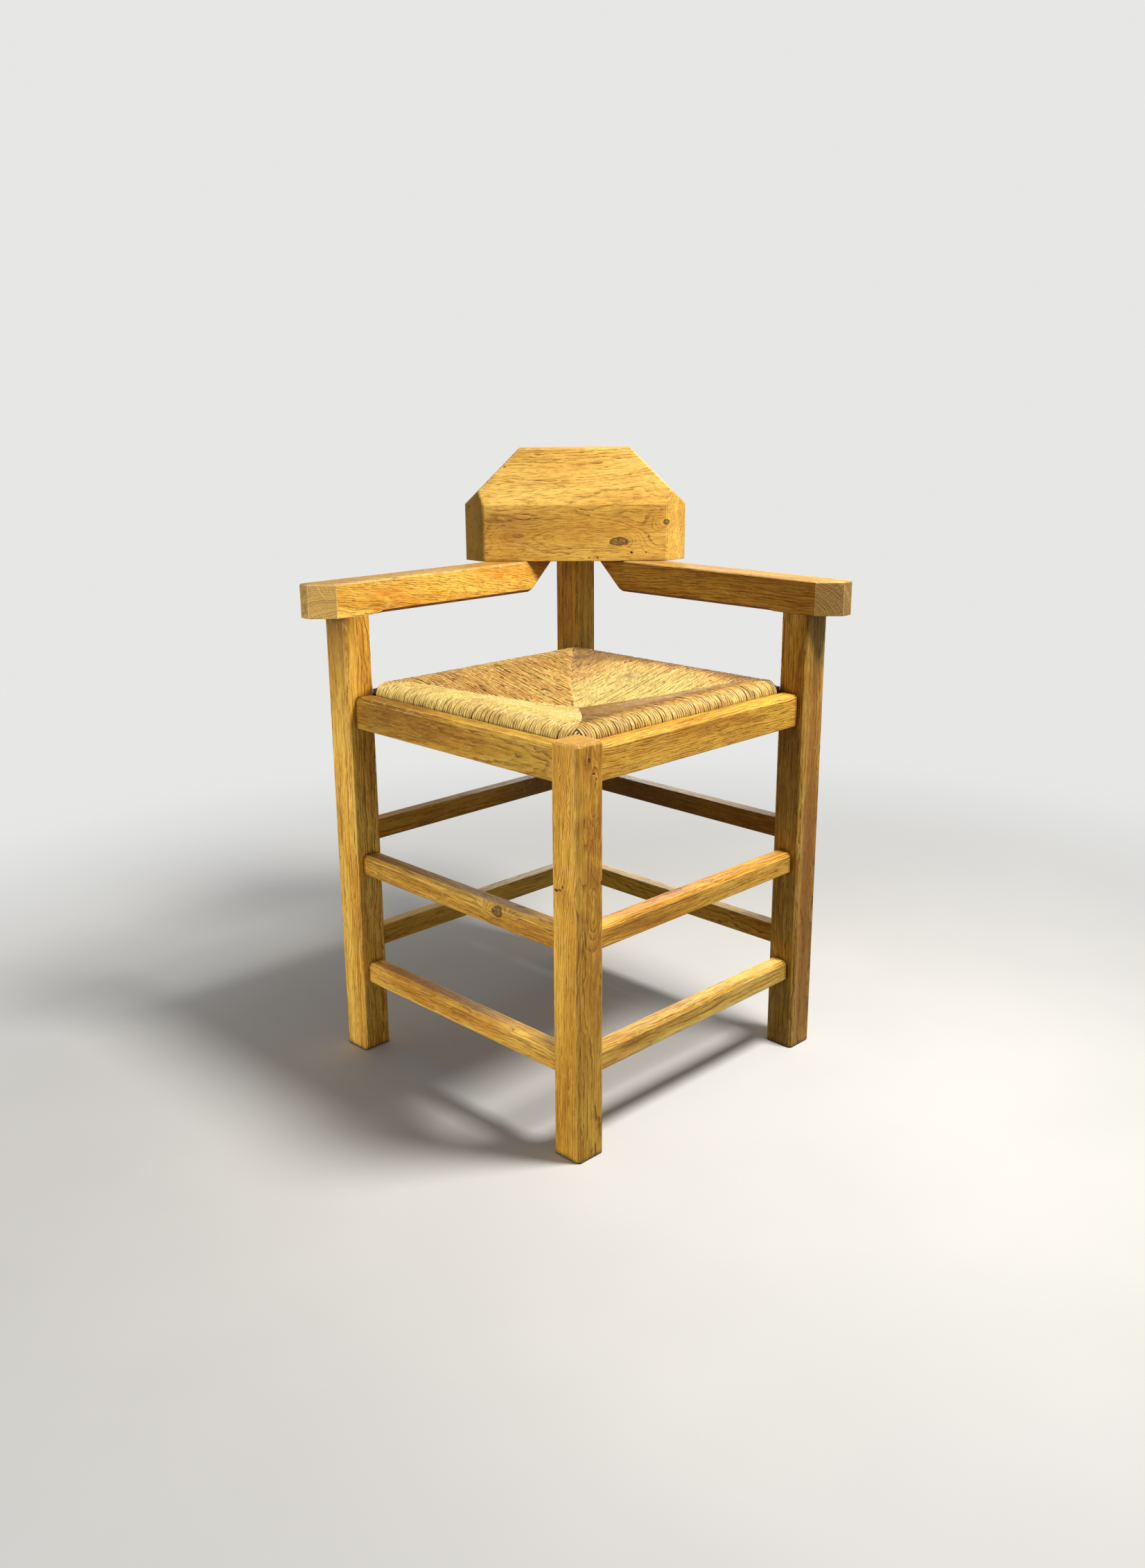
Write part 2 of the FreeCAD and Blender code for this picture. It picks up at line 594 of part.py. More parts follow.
def drill_frame(body):
    """Pilot holes for the seat screws, up from below, through mortise and tenon alike."""
    plan = new_sketch(body, body.Name + "_pilots_plan", "XY_Plane", "-frame_height / 2")
    across = "(leg_spacing / 2 - screw_place)"
    line = "(%s - frame_width / 2 - (leg_spacing / 2 - screw_place))" % FRAME_HALF
    for sign in (-1, 1):
        draw_circle(plan, signed(sign, across), line, "screw_diameter + 2 * pilot_gap")
    depth = "(%s - brace_thickness + screw_length - %s + end_gap)" % (BRACE_TOP, FRAME_BOTTOM)
    cut_both_ways(body, body.Name + "_pilots", plan, "2 * %s" % depth)


drill_frame(make_frame_side("front_left_seat_frame", 3))
drill_frame(make_frame_side("back_right_seat_frame", 1))
drill_frame(make_frame_cross("front_right_seat_frame", 0))
drill_frame(make_frame_cross("back_left_seat_frame", 2))


# Rush seat
# Square rings from the middle of the underside, round the rolled edge, to the middle of the top.

def bend(share):
    """Level up to about an eighth of the way in, then an even fall."""
    return math.hypot(share - 0.13, 0.06) + share - 0.13


def slope(share):
    """Fall of the top, from 0 at the roll to 1 in the middle, at a share of the way in."""
    even = (bend(share) - bend(0)) / (bend(1) - bend(0))
    return even + 0.05 * math.sin(math.pi * even)


def rush_rings():
    """Pairs of half width and height, as expressions, for the rings of the rush."""
    inner = "(%s - rush_roll)" % SEAT_HALF
    middle = "(%s + rush_height / 2)" % RUSH_BOTTOM
    rings = []
    frame = "(%s - frame_width)" % FRAME_HALF
    for step in range(UNDER_RINGS):
        share = step / UNDER_RINGS
        hang = (1 + math.cos(math.pi * share)) / 2
        half = "rush_middle + (%s - rush_middle) * %.6f" % (frame, share)
        rings.append((half, "%s - rush_sag * %.6f" % (RUSH_BOTTOM, hang)))
    rings.append((frame, "%s + rush_sag / 50" % RUSH_BOTTOM))
    for step in range(ROLL_STEPS + 1):
        angle = 180 * step / ROLL_STEPS - 90
        half = "%s + rush_roll * cos(%s deg)" % (inner, angle)
        rings.append((half, "%s + rush_height / 2 * sin(%s deg)" % (middle, angle)))
    crest = "(%s + rush_height)" % RUSH_BOTTOM
    for step in range(1, PANEL_RINGS + 1):
        share = step / PANEL_RINGS
        fall = slope(share)
        half = "%s + (rush_middle - %s) * %.6f" % (inner, inner, share)
        rings.append((half, "%s - rush_dip * %.6f" % (crest, fall)))
    return rings


def make_rush():
    """Wound rush with four panels that meet on mitre lines, hollow where the seat frame lies."""
    body = new_body("rush_seat")
    sections = []
    for order, (half, level) in enumerate(rush_rings()):
        ring = new_sketch(body, "rush_ring_%02d" % order, "XY_Plane", level)
        side = "(%s)" % half
        draw_outline(ring, [("-" + side, "-" + side), (side, "-" + side), (side, side), ("-" + side, side)])
        sections.append(ring)
    doc.recompute()
    loft = body.newObject("PartDesign::AdditiveLoft", "rush_form")
    loft.Profile = sections[0]
    loft.Sections = sections[1:]
    loft.Ruled = True
    doc.recompute()
    corners = new_sketch(body, "rush_corners_plan", "XY_Plane", FRAME_LEVEL)
    edge = SEAT_HALF
    inset = "(%s - rush_corner)" % SEAT_HALF
    for right in (-1, 1):
        for ahead in (-1, 1):
            cut = [(signed(right, inset), signed(ahead, edge)), (signed(right, edge), signed(ahead, inset))]
            draw_outline(corners, cut + [(signed(right, edge), signed(ahead, edge))])
    cut_both_ways(body, "rush_corners", corners, "3 * rush_height")
    cavity = new_sketch(body, "rush_cavity_plan", "XY_Plane", FRAME_LEVEL)
    for half in ("(%s + rush_fit)" % FRAME_HALF, "(%s - frame_width - rush_fit)" % FRAME_HALF):
        draw_outline(cavity, [("-" + half, "-" + half), (half, "-" + half), (half, half), ("-" + half, half)])
    cut_both_ways(body, "rush_cavity", cavity, "frame_height + 2 * rush_fit")
    holes = new_sketch(body, "rush_holes_plan", "XY_Plane", RUSH_BOTTOM)
    reach = "(leg_spacing / 2 - screw_place)"
    for right in (-1, 1):
        for ahead in (-1, 1):
            draw_circle(holes, signed(right, reach), signed(ahead, reach), "screw_diameter + 2 * screw_gap")
    cut_both_ways(body, "rush_holes", holes, "2 * (rush_under + rush_fit / 2)")
    place(body, 45)
    return body


make_rush()


# Corner braces under the seat, and the screws through them

def make_brace(name, quarter):
    """Triangular brace between two rails, notched round the leg."""
    body = new_body(name)
    plan = new_sketch(body, name + "_plan", "XY_Plane")
    face = HALF_LEG
    far = "(leg_width / 2 + brace_reach)"
    outline = [(RAIL_INNER, face), (face, face), (face, RAIL_INNER), (far, RAIL_INNER), (RAIL_INNER, far)]
    draw_outline(plan, outline)
    add_pad(body, name + "_block", plan, "brace_thickness")
    hole = new_sketch(body, name + "_hole_plan", "XY_Plane")
    draw_circle(hole, "screw_place", "screw_place", "screw_diameter + 2 * screw_gap")
    cut_both_ways(body, name + "_hole", hole, "2 * brace_thickness + 2")
    place(body, 45 + 90 * quarter, CORNER_RADIUS, 90 * quarter - 90, "%s - brace_thickness" % BRACE_TOP)
    return body


for quarter, corner in enumerate(["front", "right", "back", "left"]):
    make_brace(corner + "_corner_brace", quarter)


def make_screws():
    """Four round-head screws, turned from one half profile and set round the chair."""
    body = new_body("seat_screws", several=True)
    profile = new_sketch(body, "screw_half", "XZ_Plane")
    centre = "(leg_spacing / sqrt(2) - screw_place * sqrt(2))"
    shank = "(%s + screw_diameter / 2)" % centre
    rim = "(%s + screw_head / 2)" % centre
    shoulder = "(%s + screw_head / 3)" % centre
    points = [(centre, "-screw_head_height"), (shoulder, "-screw_head_height * 0.75")]
    points += [(rim, "0"), (shank, "0"), (shank, "screw_length - screw_tip"), (centre, "screw_length")]
    draw_outline(profile, points)
    doc.recompute()
    turned = body.newObject("PartDesign::Revolution", "screw_turned")
    turned.Profile = profile
    turned.ReferenceAxis = (profile, ["Edge6"])
    turned.Angle = 360
    doc.recompute()
    pattern = body.newObject("PartDesign::PolarPattern", "screw_round")
    pattern.Originals = [turned]
    pattern.Axis = (next(item for item in body.Origin.OriginFeatures if item.Role == "Z_Axis"), [""])
    pattern.Angle = 360
    pattern.Occurrences = 4
    body.Tip = pattern
    place(body, 0, level="%s - brace_thickness" % BRACE_TOP)
    return body


make_screws()
doc.recompute()

# Every feature must have worked, and every piece must be a sound solid

for item in doc.Objects:
    if "Invalid" in item.State or "Error" in item.State:
        raise RuntimeError("%s failed: %s" % (item.Name, item.State))

pieces = [item for item in doc.Objects if item.TypeId == "PartDesign::Body"]
for piece in pieces:
    if piece.Shape.isNull() or not piece.Shape.isValid() or not piece.Shape.Solids:
        raise RuntimeError("%s has no sound solid" % piece.Label)

os.makedirs("parts", exist_ok=True)
for piece in pieces:
    piece.Shape.exportStep(os.path.join("parts", piece.Label + ".step"))
    box = piece.Shape.BoundBox
    print("%-32s %2d solid(s)  %9.1f cm3  z %.1f to %.1f"
          % (piece.Label, len(piece.Shape.Solids), piece.Shape.Volume / 1000, box.ZMin, box.ZMax))
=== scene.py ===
import math
import random
from dataclasses import dataclass
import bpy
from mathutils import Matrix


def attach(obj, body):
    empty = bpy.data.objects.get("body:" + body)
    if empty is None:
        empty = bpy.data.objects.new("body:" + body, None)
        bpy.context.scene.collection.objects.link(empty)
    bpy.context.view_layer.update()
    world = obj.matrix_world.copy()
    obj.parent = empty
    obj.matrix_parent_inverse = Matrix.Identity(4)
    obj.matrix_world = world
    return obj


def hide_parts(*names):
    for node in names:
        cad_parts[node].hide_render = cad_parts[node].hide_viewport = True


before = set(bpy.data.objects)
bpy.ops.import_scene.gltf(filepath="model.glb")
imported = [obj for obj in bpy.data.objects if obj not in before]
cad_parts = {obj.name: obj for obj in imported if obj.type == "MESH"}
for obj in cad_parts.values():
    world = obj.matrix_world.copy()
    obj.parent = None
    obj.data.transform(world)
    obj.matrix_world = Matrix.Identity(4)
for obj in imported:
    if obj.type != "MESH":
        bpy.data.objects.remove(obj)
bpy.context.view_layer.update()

from types import SimpleNamespace

import bpy
import numpy as np
from mathutils import Matrix, Vector


# Camera, from a fit to the edges of the chair in the photograph

IMAGE_WIDTH = 1652
SENSOR_WIDTH = 36
FOCAL_PIXELS = 1956.79
CAMERA_PLACE = (-0.0018, -1.5546, 0.7815)
CAMERA_Z, CAMERA_X, CAMERA_Y = 0.0021, -0.2793, 0.006     # turns, from the level view along +Y


def make_camera():
    data = bpy.data.cameras.new("photo_camera")
    data.sensor_fit = "HORIZONTAL"
    data.sensor_width = SENSOR_WIDTH
    data.lens = FOCAL_PIXELS * SENSOR_WIDTH / IMAGE_WIDTH
    camera = bpy.data.objects.new("photo_camera", data)
    turn = (Matrix.Rotation(CAMERA_Z, 4, "Z") @ Matrix.Rotation(CAMERA_X, 4, "X")
            @ Matrix.Rotation(CAMERA_Y, 4, "Y"))
    level = Matrix.Rotation(math.pi / 2, 4, "X")
    camera.matrix_world = Matrix.Translation(CAMERA_PLACE) @ turn @ level
    bpy.context.scene.collection.objects.link(camera)
    bpy.context.scene.camera = camera


# Shader helpers

class Tree:
    """Short names for building a node tree."""

    def __init__(self, tree):
        self.tree = tree

    def node(self, kind, inputs=(), **settings):
        made = self.tree.nodes.new(kind)
        for name, setting in settings.items():
            setattr(made, name, setting)
        for socket, source in dict(inputs).items():
            self.feed(made.inputs[socket], source)
        return made

    def feed(self, socket, source):
        if isinstance(source, bpy.types.NodeSocket):
            self.tree.links.new(source, socket)
        elif source is not None:
            socket.default_value = source

    def place(self):
        return self.node("ShaderNodeTexCoord").outputs["Object"]

    def math(self, operation, first, second=None, third=None, clamp=False):
        values = {0: first, 1: second, 2: third}
        made = self.node("ShaderNodeMath", values, operation=operation, use_clamp=clamp)
        return made.outputs[0]

    def times(self, first, second):
        return self.math("MULTIPLY", first, second)

    def sway(self, field, gain, base, clamp=False):
        """Base plus gain times how far a field lies from 0.5, the middle of a noise."""
        return self.math("MULTIPLY_ADD", self.math("SUBTRACT", field, 0.5), gain, base, clamp)

    def vector(self, operation, first, second=None):
        made = self.node("ShaderNodeVectorMath", {0: first, 1: second}, operation=operation)
        return made.outputs["Value"] if operation in ("LENGTH", "DOT_PRODUCT") else made.outputs[0]

    def stretch(self, vector, factors):
        return self.vector("MULTIPLY", vector, factors)

    def split(self, vector):
        return self.node("ShaderNodeSeparateXYZ", {0: vector}).outputs

    def join(self, x, y, z):
        return self.node("ShaderNodeCombineXYZ", {0: x, 1: y, 2: z}).outputs[0]

    def noise(self, vector, scale=1.0, detail=2.0, rough=0.5, output="Fac"):
        """Noise with about scale cells per unit, which may be given for each axis."""
        if isinstance(scale, tuple):
            vector, scale = self.stretch(vector, scale), 1.0
        inputs = {"Vector": vector, "Scale": scale, "Detail": detail, "Roughness": rough}
        return self.node("ShaderNodeTexNoise", inputs).outputs[output]

    def step(self, value, low, high, top=1.0):
        """Smooth rise from 0 at low to top at high. High may be the lower one."""
        inputs = {"Value": value, "From Min": low, "From Max": high, "To Min": 0.0, "To Max": top}
        made = self.node("ShaderNodeMapRange", inputs, interpolation_type="SMOOTHSTEP")
        return made.outputs["Result"]

    def ramp(self, value, stops, kind="EASE"):
        """Colours or greys at given places between 0 and 1."""
        made = self.node("ShaderNodeValToRGB", {"Fac": value})
        ramp = made.color_ramp
        ramp.interpolation = kind
        while len(ramp.elements) < len(stops):
            ramp.elements.new(0.5)
        for element, (place, colour) in zip(ramp.elements, stops):
            element.position = place
            element.color = (*colour, 1) if isinstance(colour, tuple) else (colour,) * 3 + (1,)
        return made.outputs["Color"]

    def mix(self, share, first, second, blend="MIX"):
        made = self.node("ShaderNodeMix", data_type="RGBA", blend_type=blend)
        self.feed(made.inputs["Factor"], share)
        for socket, colour in ((made.inputs[6], first), (made.inputs[7], second)):
            self.feed(socket, (*colour, 1) if isinstance(colour, tuple) else colour)
        return made.outputs[2]

    def spot(self, place, centre, sizes):
        """Soft spot: 1 at the centre, falling off over the sizes in mm along each axis."""
        away = self.vector("SUBTRACT", place, tuple(centre))
        length = self.vector("LENGTH", self.stretch(away, tuple(1000 / size for size in sizes)))
        return self.math("EXPONENT", self.times(self.times(length, length), -1.0))

    def bump(self, height, strength, distance, normal=None):
        inputs = {"Strength": strength, "Distance": distance, "Height": height, "Normal": normal}
        return self.node("ShaderNodeBump", inputs).outputs[0]

    def seen(self):
        """1 for rays from the camera, and for mirrored and transmitted ones."""
        rays = self.node("ShaderNodeLightPath").outputs
        other = self.math("MAXIMUM", rays["Is Glossy Ray"], rays["Is Transmission Ray"])
        return self.math("MAXIMUM", rays["Is Camera Ray"], other)


def new_material(name, roughness=0.5):
    material = bpy.data.materials.new(name)
    material.use_nodes = True
    material.node_tree.nodes.clear()
    tree = Tree(material.node_tree)
    shader = tree.node("ShaderNodeBsdfPrincipled", {"Roughness": roughness})
    tree.output = tree.node("ShaderNodeOutputMaterial", {"Surface": shader.outputs[0]})
    return material, tree, shader


# Oak
# Each piece is cut from its own log: rings run round a pith that lies beside the piece and leans a
# little, so long faces get straight or cathedral figure and ends get arcs. The scales of the noises
# are cells per metre, along the grain and across it.

OAK_GLOSS = 0.17
EARLY_WOOD = ((0, 1.0), (0.15, 0.62), (0.40, 0.12), (0.90, 0.0), (0.95, 0.1), (1, 1.0))
BROWN, HONEY, PALE = (0.44, 0.195, 0.022), (0.70, 0.370, 0.056), (0.90, 0.565, 0.120)
ORANGE = (0.62, 0.265, 0.028)
STREAK, LINE, RING = (0.34, 0.145, 0.016), (0.25, 0.100, 0.011), (0.20, 0.076, 0.009)
RAY, PORE = (0.82, 0.53, 0.17), (0.13, 0.048, 0.006)
KNOT, KNOT_RIM, PIT = (0.29, 0.150, 0.036), (0.075, 0.032, 0.008), (0.035, 0.016, 0.007)
# Colours of the rubbed edges with their painted highlight, of painted shade in joints, of painted
# shade on undersides
WORN_HIGHLIGHT, NOOK_SHADE, UNDERSIDE_SHADE = (0.95, 0.74, 0.34), (0.20, 0.13, 0.09), (0.26, 0.18, 0.12)
SMALL_KNOT = 3                      # a knot up to this size is all hole
END_BRIGHTEST = 0.9
NOOK_REACH = 0.015                  # metres from a joint that get painted shade


@dataclass
class Timber:
    """Where a piece lies in its log, and its looks. Places and sizes are in mm in the row frame."""

    centre: tuple
    grain: tuple
    side: tuple
    pith: tuple                 # where the pith lies beside the centre
    lean: tuple = (0, 0)        # degrees between the pith and the piece
    spacing: float = 2.6        # between year rings
    tone: tuple = (1, 1, 1)     # factor on the whole colour
    seed: float = 1.0
    knots: tuple = ()           # place, sizes, darkness
    swirls: tuple = ()          # place, sizes, rings by which the grain bulges
    tints: tuple = ()           # place, sizes, strength, colour; smooth, under the figure
    patches: tuple = ()         # the same, but uneven and over the figure
    ray: float = 0.25           # strength of the rays
    open_grain: float = 0.5     # strength of the pores
    figure: float = 0.75        # strength of the rings
    blotch: float = 1.0         # strength of the broad changes in colour
    dash: float = 60            # pores per metre of grain
    streak: float = 16          # lines per metre of grain
    wild: float = 1.0           # slow wander of the grain
    ripple: float = 0.0034      # fine wander of the grain, in metres
    end: tuple = (0.48, 0.26, 0.060)    # colour of the end grain
    bare_end: float = 1.0       # how far the end grain shows
    arris: float = 0.0014       # radius of the soft edges, in metres
    rub_and_glint: float = 0.85          # how far the edges are rubbed and given a painted highlight

    def __post_init__(self):
        self.along = Vector(self.grain).normalized()
        side = Vector(self.side).normalized()
        lean = [math.radians(angle) for angle in self.lean]
        tilt = Matrix.Rotation(lean[0], 3, "Y") @ Matrix.Rotation(lean[1], 3, "Z")
        self.base = Matrix((self.along, side, self.along.cross(side))).transposed()
        self.frame = self.base @ tilt
        self.middle = Vector(self.centre) / 1000

    def local(self, place):
        """A place in the frame of the log, in metres."""
        return self.frame.transposed() @ (Vector(place) / 1000 - self.middle)

    def upright(self, place):
        """The same in the frame of the piece, without the lean."""
        return self.base.transposed() @ (Vector(place) / 1000 - self.middle)


def log_fields(tree, timber):
    """Where each point lies in the log, and the rings, pores, lines and rays there."""
    where = tree.place()
    place, upright = (
        tree.node("ShaderNodeMapping",
                  {"Vector": where, "Location": timber.middle, "Rotation": turn.to_euler()},
                  vector_type="TEXTURE").outputs[0]
        for turn in (timber.frame, timber.base))
    shift = Vector((timber.seed * 1.37, timber.seed * 0.61, timber.seed * 0.83))
    seeded = tree.vector("ADD", place, tuple(shift))

    # The grain wanders across its run
    slow = tree.noise(seeded, (5, 14, 14), detail=1, output="Color")
    fine = tree.noise(seeded, (42, 95, 95), detail=2, output="Color")
    slow, fine = (tree.stretch(tree.vector("SUBTRACT", field, (0.5, 0.5, 0.5)), (0, reach, reach))
                  for field, reach in ((slow, 0.012 * timber.wild), (fine, timber.ripple)))
    x, y, z = tree.split(tree.vector("ADD", place, tree.vector("ADD", slow, fine)))
    y = tree.math("SUBTRACT", y, timber.pith[0] / 1000)
    z = tree.math("SUBTRACT", z, timber.pith[1] / 1000)
    radius = tree.vector("LENGTH", tree.join(0.0, y, z))
    angle = tree.math("ARCTAN2", z, y)
    along = tree.join(x, y, z)

    # Year rings of uneven width and strength
    rings = tree.times(radius, 1000 / timber.spacing)
    for centre, sizes, rise in timber.swirls:
        lift = tree.spot(place, timber.local(centre), sizes)
        rings = tree.math("MULTIPLY_ADD", lift, float(rise), rings)
    years = tree.noise(tree.join(tree.times(radius, 130.0), timber.seed * 3.1, 0.0), detail=1)
    rings = tree.math("MULTIPLY_ADD", years, 3.2, rings)
    vigour = tree.noise(tree.join(tree.times(rings, 0.43), timber.seed * 1.9, 3.0), detail=1)
    early = tree.ramp(tree.math("FRACT", rings), EARLY_WOOD, "LINEAR")
    early = tree.times(early, tree.step(vigour, 0.22, 0.52))

    # Pores, broken rings, lines of grain, mottle, and rays
    pores = tree.noise(along, (timber.dash, 900, 900), detail=2, rough=0.6)
    pores = tree.times(tree.step(pores, 0.54, 0.65), tree.math("MULTIPLY_ADD", early, 0.7, 0.3))
    broken = tree.noise(along, (timber.dash * 0.45, 300, 300), detail=3, rough=0.65)
    broken = tree.math("MULTIPLY_ADD", tree.step(broken, 0.38, 0.58), 0.75, 0.25)
    rays = tree.join(tree.times(x, 95.0), tree.times(angle, 70.0), tree.times(radius, 55.0))
    return SimpleNamespace(
        place=place, upright=upright, seeded=seeded, shift=shift, along=along, radius=radius,
        angle=angle, vigour=vigour, early=early, pores=pores, figure=tree.times(early, broken),
        lines=tree.noise(along, (timber.streak, 500, 500), detail=3, rough=0.65),
        mottle=tree.noise(seeded, (26, 70, 70), detail=4, rough=0.62),
        rays=tree.step(tree.noise(rays, detail=1), 0.60, 0.70),
        normal=tree.node("ShaderNodeNewGeometry").outputs["Normal"],
        rounded=tree.node("ShaderNodeBevel", {"Radius": timber.arris}, samples=4).outputs[0])


def long_grain(tree, timber, log):
    """Broad changes of colour, tints, and the figure over them."""
    level = tree.sway(log.mottle, 0.35, tree.noise(log.seeded, (4, 22, 22), detail=2))
    level = tree.sway(log.vigour, -0.28, level)
    level = tree.sway(log.lines, -0.28, level)
    level = tree.sway(level, timber.blotch, 0.5)
    colour = tree.ramp(level, [(0.30, BROWN), (0.46, HONEY), (0.63, PALE)], "LINEAR")
    orange = tree.noise(log.seeded, (12, 34, 34), detail=2)
    colour = tree.mix(tree.step(orange, 0.52, 0.74, 0.5 * timber.blotch), colour, ORANGE)
    for centre, sizes, strength, tint in timber.tints:
        share = tree.spot(log.upright, timber.upright(centre), sizes)
        colour = tree.mix(tree.times(share, strength), colour, tint)
    streaks = tree.noise(log.along, (6, 170, 170), detail=2)
    for share, paint in ((tree.step(streaks, 0.53, 0.68, 0.28 * timber.blotch), STREAK),
                         (tree.step(log.lines, 0.51, 0.62, 0.30 + 0.25 * timber.blotch), LINE),
                         (tree.times(log.figure, timber.figure), RING),
                         (tree.times(log.rays, timber.ray), RAY),
                         (tree.times(log.pores, 0.15 + 0.75 * timber.open_grain), PORE)):
        colour = tree.mix(share, colour, paint)
    return colour


def end_grain(tree, timber, log):
    """Arcs of pores and fine rays on a duller ground."""
    specks = tree.noise(log.along, (0, 700, 700), detail=2)
    spokes = tree.join(tree.times(log.angle, 55.0), tree.times(log.radius, 14.0), 0.0)
    spokes = tree.noise(spokes, detail=2)
    colour = timber.end
    for share, factor in ((tree.step(specks, 0.42, 0.66, 0.28), 0.45),
                          (tree.times(log.early, 0.75), 0.30),
                          (tree.step(spokes, 0.54, 0.64, 0.6), 1.55),
                          (tree.step(log.vigour, 0.44, 0.58, 0.35), 0.6)):
        paint = tuple(min(part * factor, END_BRIGHTEST) for part in timber.end)
        colour = tree.mix(share, colour, paint)
    return colour


def stained(tree, timber, log, colour):
    for centre, sizes, strength, tint in timber.patches:
        stain = tree.spot(log.seeded, timber.local(centre) + log.shift, sizes)
        uneven = tree.noise(log.seeded, (60, 160, 160), detail=3)
        stain = tree.times(stain, tree.step(uneven, 0.3, 0.62, strength))
        colour = tree.mix(stain, colour, tint)
    return colour


def knotted(tree, timber, log, colour):
    """The colour with its knots, and where these have holes."""
    holes = 0.0
    for centre, sizes, dark in timber.knots:
        core = tree.spot(log.place, timber.local(centre), sizes)
        ragged = tree.noise(log.seeded, (240, 420, 420), detail=3)
        core = tree.sway(ragged, 0.35, core)
        if max(sizes) > SMALL_KNOT:
            colour = tree.mix(tree.step(core, 0.10, 0.50, dark), colour, KNOT)
            rim = tree.times(tree.step(core, 0.18, 0.34), tree.step(core, 0.56, 0.38))
            colour = tree.mix(tree.times(rim, dark), colour, KNOT_RIM)
            crack = tree.math("ABSOLUTE", tree.math("SUBTRACT", ragged, 0.5))
            pit = tree.times(tree.step(core, 0.34, 0.56), tree.step(crack, 0.045, 0.015))
        else:
            pit = tree.step(core, 0.35, 0.7, dark)
        colour = tree.mix(pit, colour, PIT)
        holes = tree.math("MAXIMUM", holes, pit)
    return colour, holes


def wear_and_painted_light(tree, timber, log, colour):
    """Rubbed edges with painted highlights; painted shade in joint corners and on undersides."""
    nook = tree.node("ShaderNodeAmbientOcclusion", {"Distance": NOOK_REACH}, samples=4)
    nook = nook.outputs["AO"]
    # Rubbed edges with a painted highlight: cream on every arris, broken by noise, kept out of the
    # joints
    glint_mask = tree.step(tree.vector("DOT_PRODUCT", log.rounded, log.normal), 0.995, 0.90)
    glint_mask = tree.times(glint_mask, tree.step(nook, 0.84, 0.97))
    rub = tree.noise(log.seeded, (60, 60, 60), detail=2)
    glint_mask = tree.times(glint_mask, tree.step(rub, 0.28, 0.56, timber.rub_and_glint))
    colour = tree.mix(glint_mask, colour, WORN_HIGHLIGHT)
    # Painted shade in the inner corners of the joints, where the occlusion is low
    colour = tree.mix(tree.step(nook, 0.70, 0.50, 0.9), colour, NOOK_SHADE, "MULTIPLY")
    # Painted shade on the downward faces and the lower arrises
    under_shade = tree.step(tree.split(log.rounded)[2], -0.22, -0.62, 0.85)
    return tree.mix(under_shade, colour, UNDERSIDE_SHADE, "MULTIPLY")


def oak_material(name, timber):
    material, tree, shader = new_material(name)
    shader.inputs["Specular IOR Level"].default_value = OAK_GLOSS
    log = log_fields(tree, timber)
    facing = tree.vector("DOT_PRODUCT", log.normal, tuple(timber.along))
    at_end = tree.step(tree.math("ABSOLUTE", facing), 0.45, 0.68, timber.bare_end)
    colour = tree.mix(at_end, long_grain(tree, timber, log), end_grain(tree, timber, log))
    colour, holes = knotted(tree, timber, log, stained(tree, timber, log, colour))
    colour = tree.mix(1.0, colour, tuple(timber.tone), "MULTIPLY")
    tree.feed(shader.inputs["Base Color"], wear_and_painted_light(tree, timber, log, colour))

    height = tree.math("MULTIPLY_ADD", log.pores, -1.0, tree.times(log.figure, -0.6))
    height = tree.math("MULTIPLY_ADD", log.lines, -0.5, height)
    height = tree.math("MULTIPLY_ADD", holes, -4.0, height)
    wobble = tree.noise(log.seeded, (16, 40, 40), detail=1)
    normal = tree.bump(height, 0.7, 0.0005, log.rounded)
    tree.feed(shader.inputs["Normal"], tree.bump(wobble, 0.5, 0.0016, normal))
    rough = tree.math("MULTIPLY_ADD", log.mottle, 0.24, 0.36)
    rough = tree.math("MULTIPLY_ADD", log.pores, 0.25, rough)
    tree.feed(shader.inputs["Roughness"], rough)
    return material


# Timber of each oak piece. Knots, swirls, tints and patches lie where the photograph shows them.

UP = (0, 0, 1)
FRONT_RIGHT, FRONT_LEFT = (1, -1, 0), (-1, -1, 0)
BACK_RIGHT, BACK_LEFT = (1, 1, 0), (-1, 1, 0)
LEG_SQUARE = 372                    # between leg centres
SIDE_REACH = 188                    # from the middle to the outer half of a rail
QUARTERS = {"front_right": 0, "back_right": 1, "back_left": 2, "front_left": 3}
FRONT_LEVELS = {"seat_rail": 428.5, "upper_stretcher": 242, "lower_stretcher": 102.5}
BACK_LEVELS = {"seat_rail": 428.5, "upper_stretcher": 278, "lower_stretcher": 140.5}
RED, RUST = (0.36, 0.13, 0.03), (0.58, 0.215, 0.026)
# Colours of painted light and of painted shade on the rails and stretchers
PAINTED_LIGHT, PAINTED_SHADE = (0.95, 0.62, 0.11), (0.14, 0.06, 0.007)

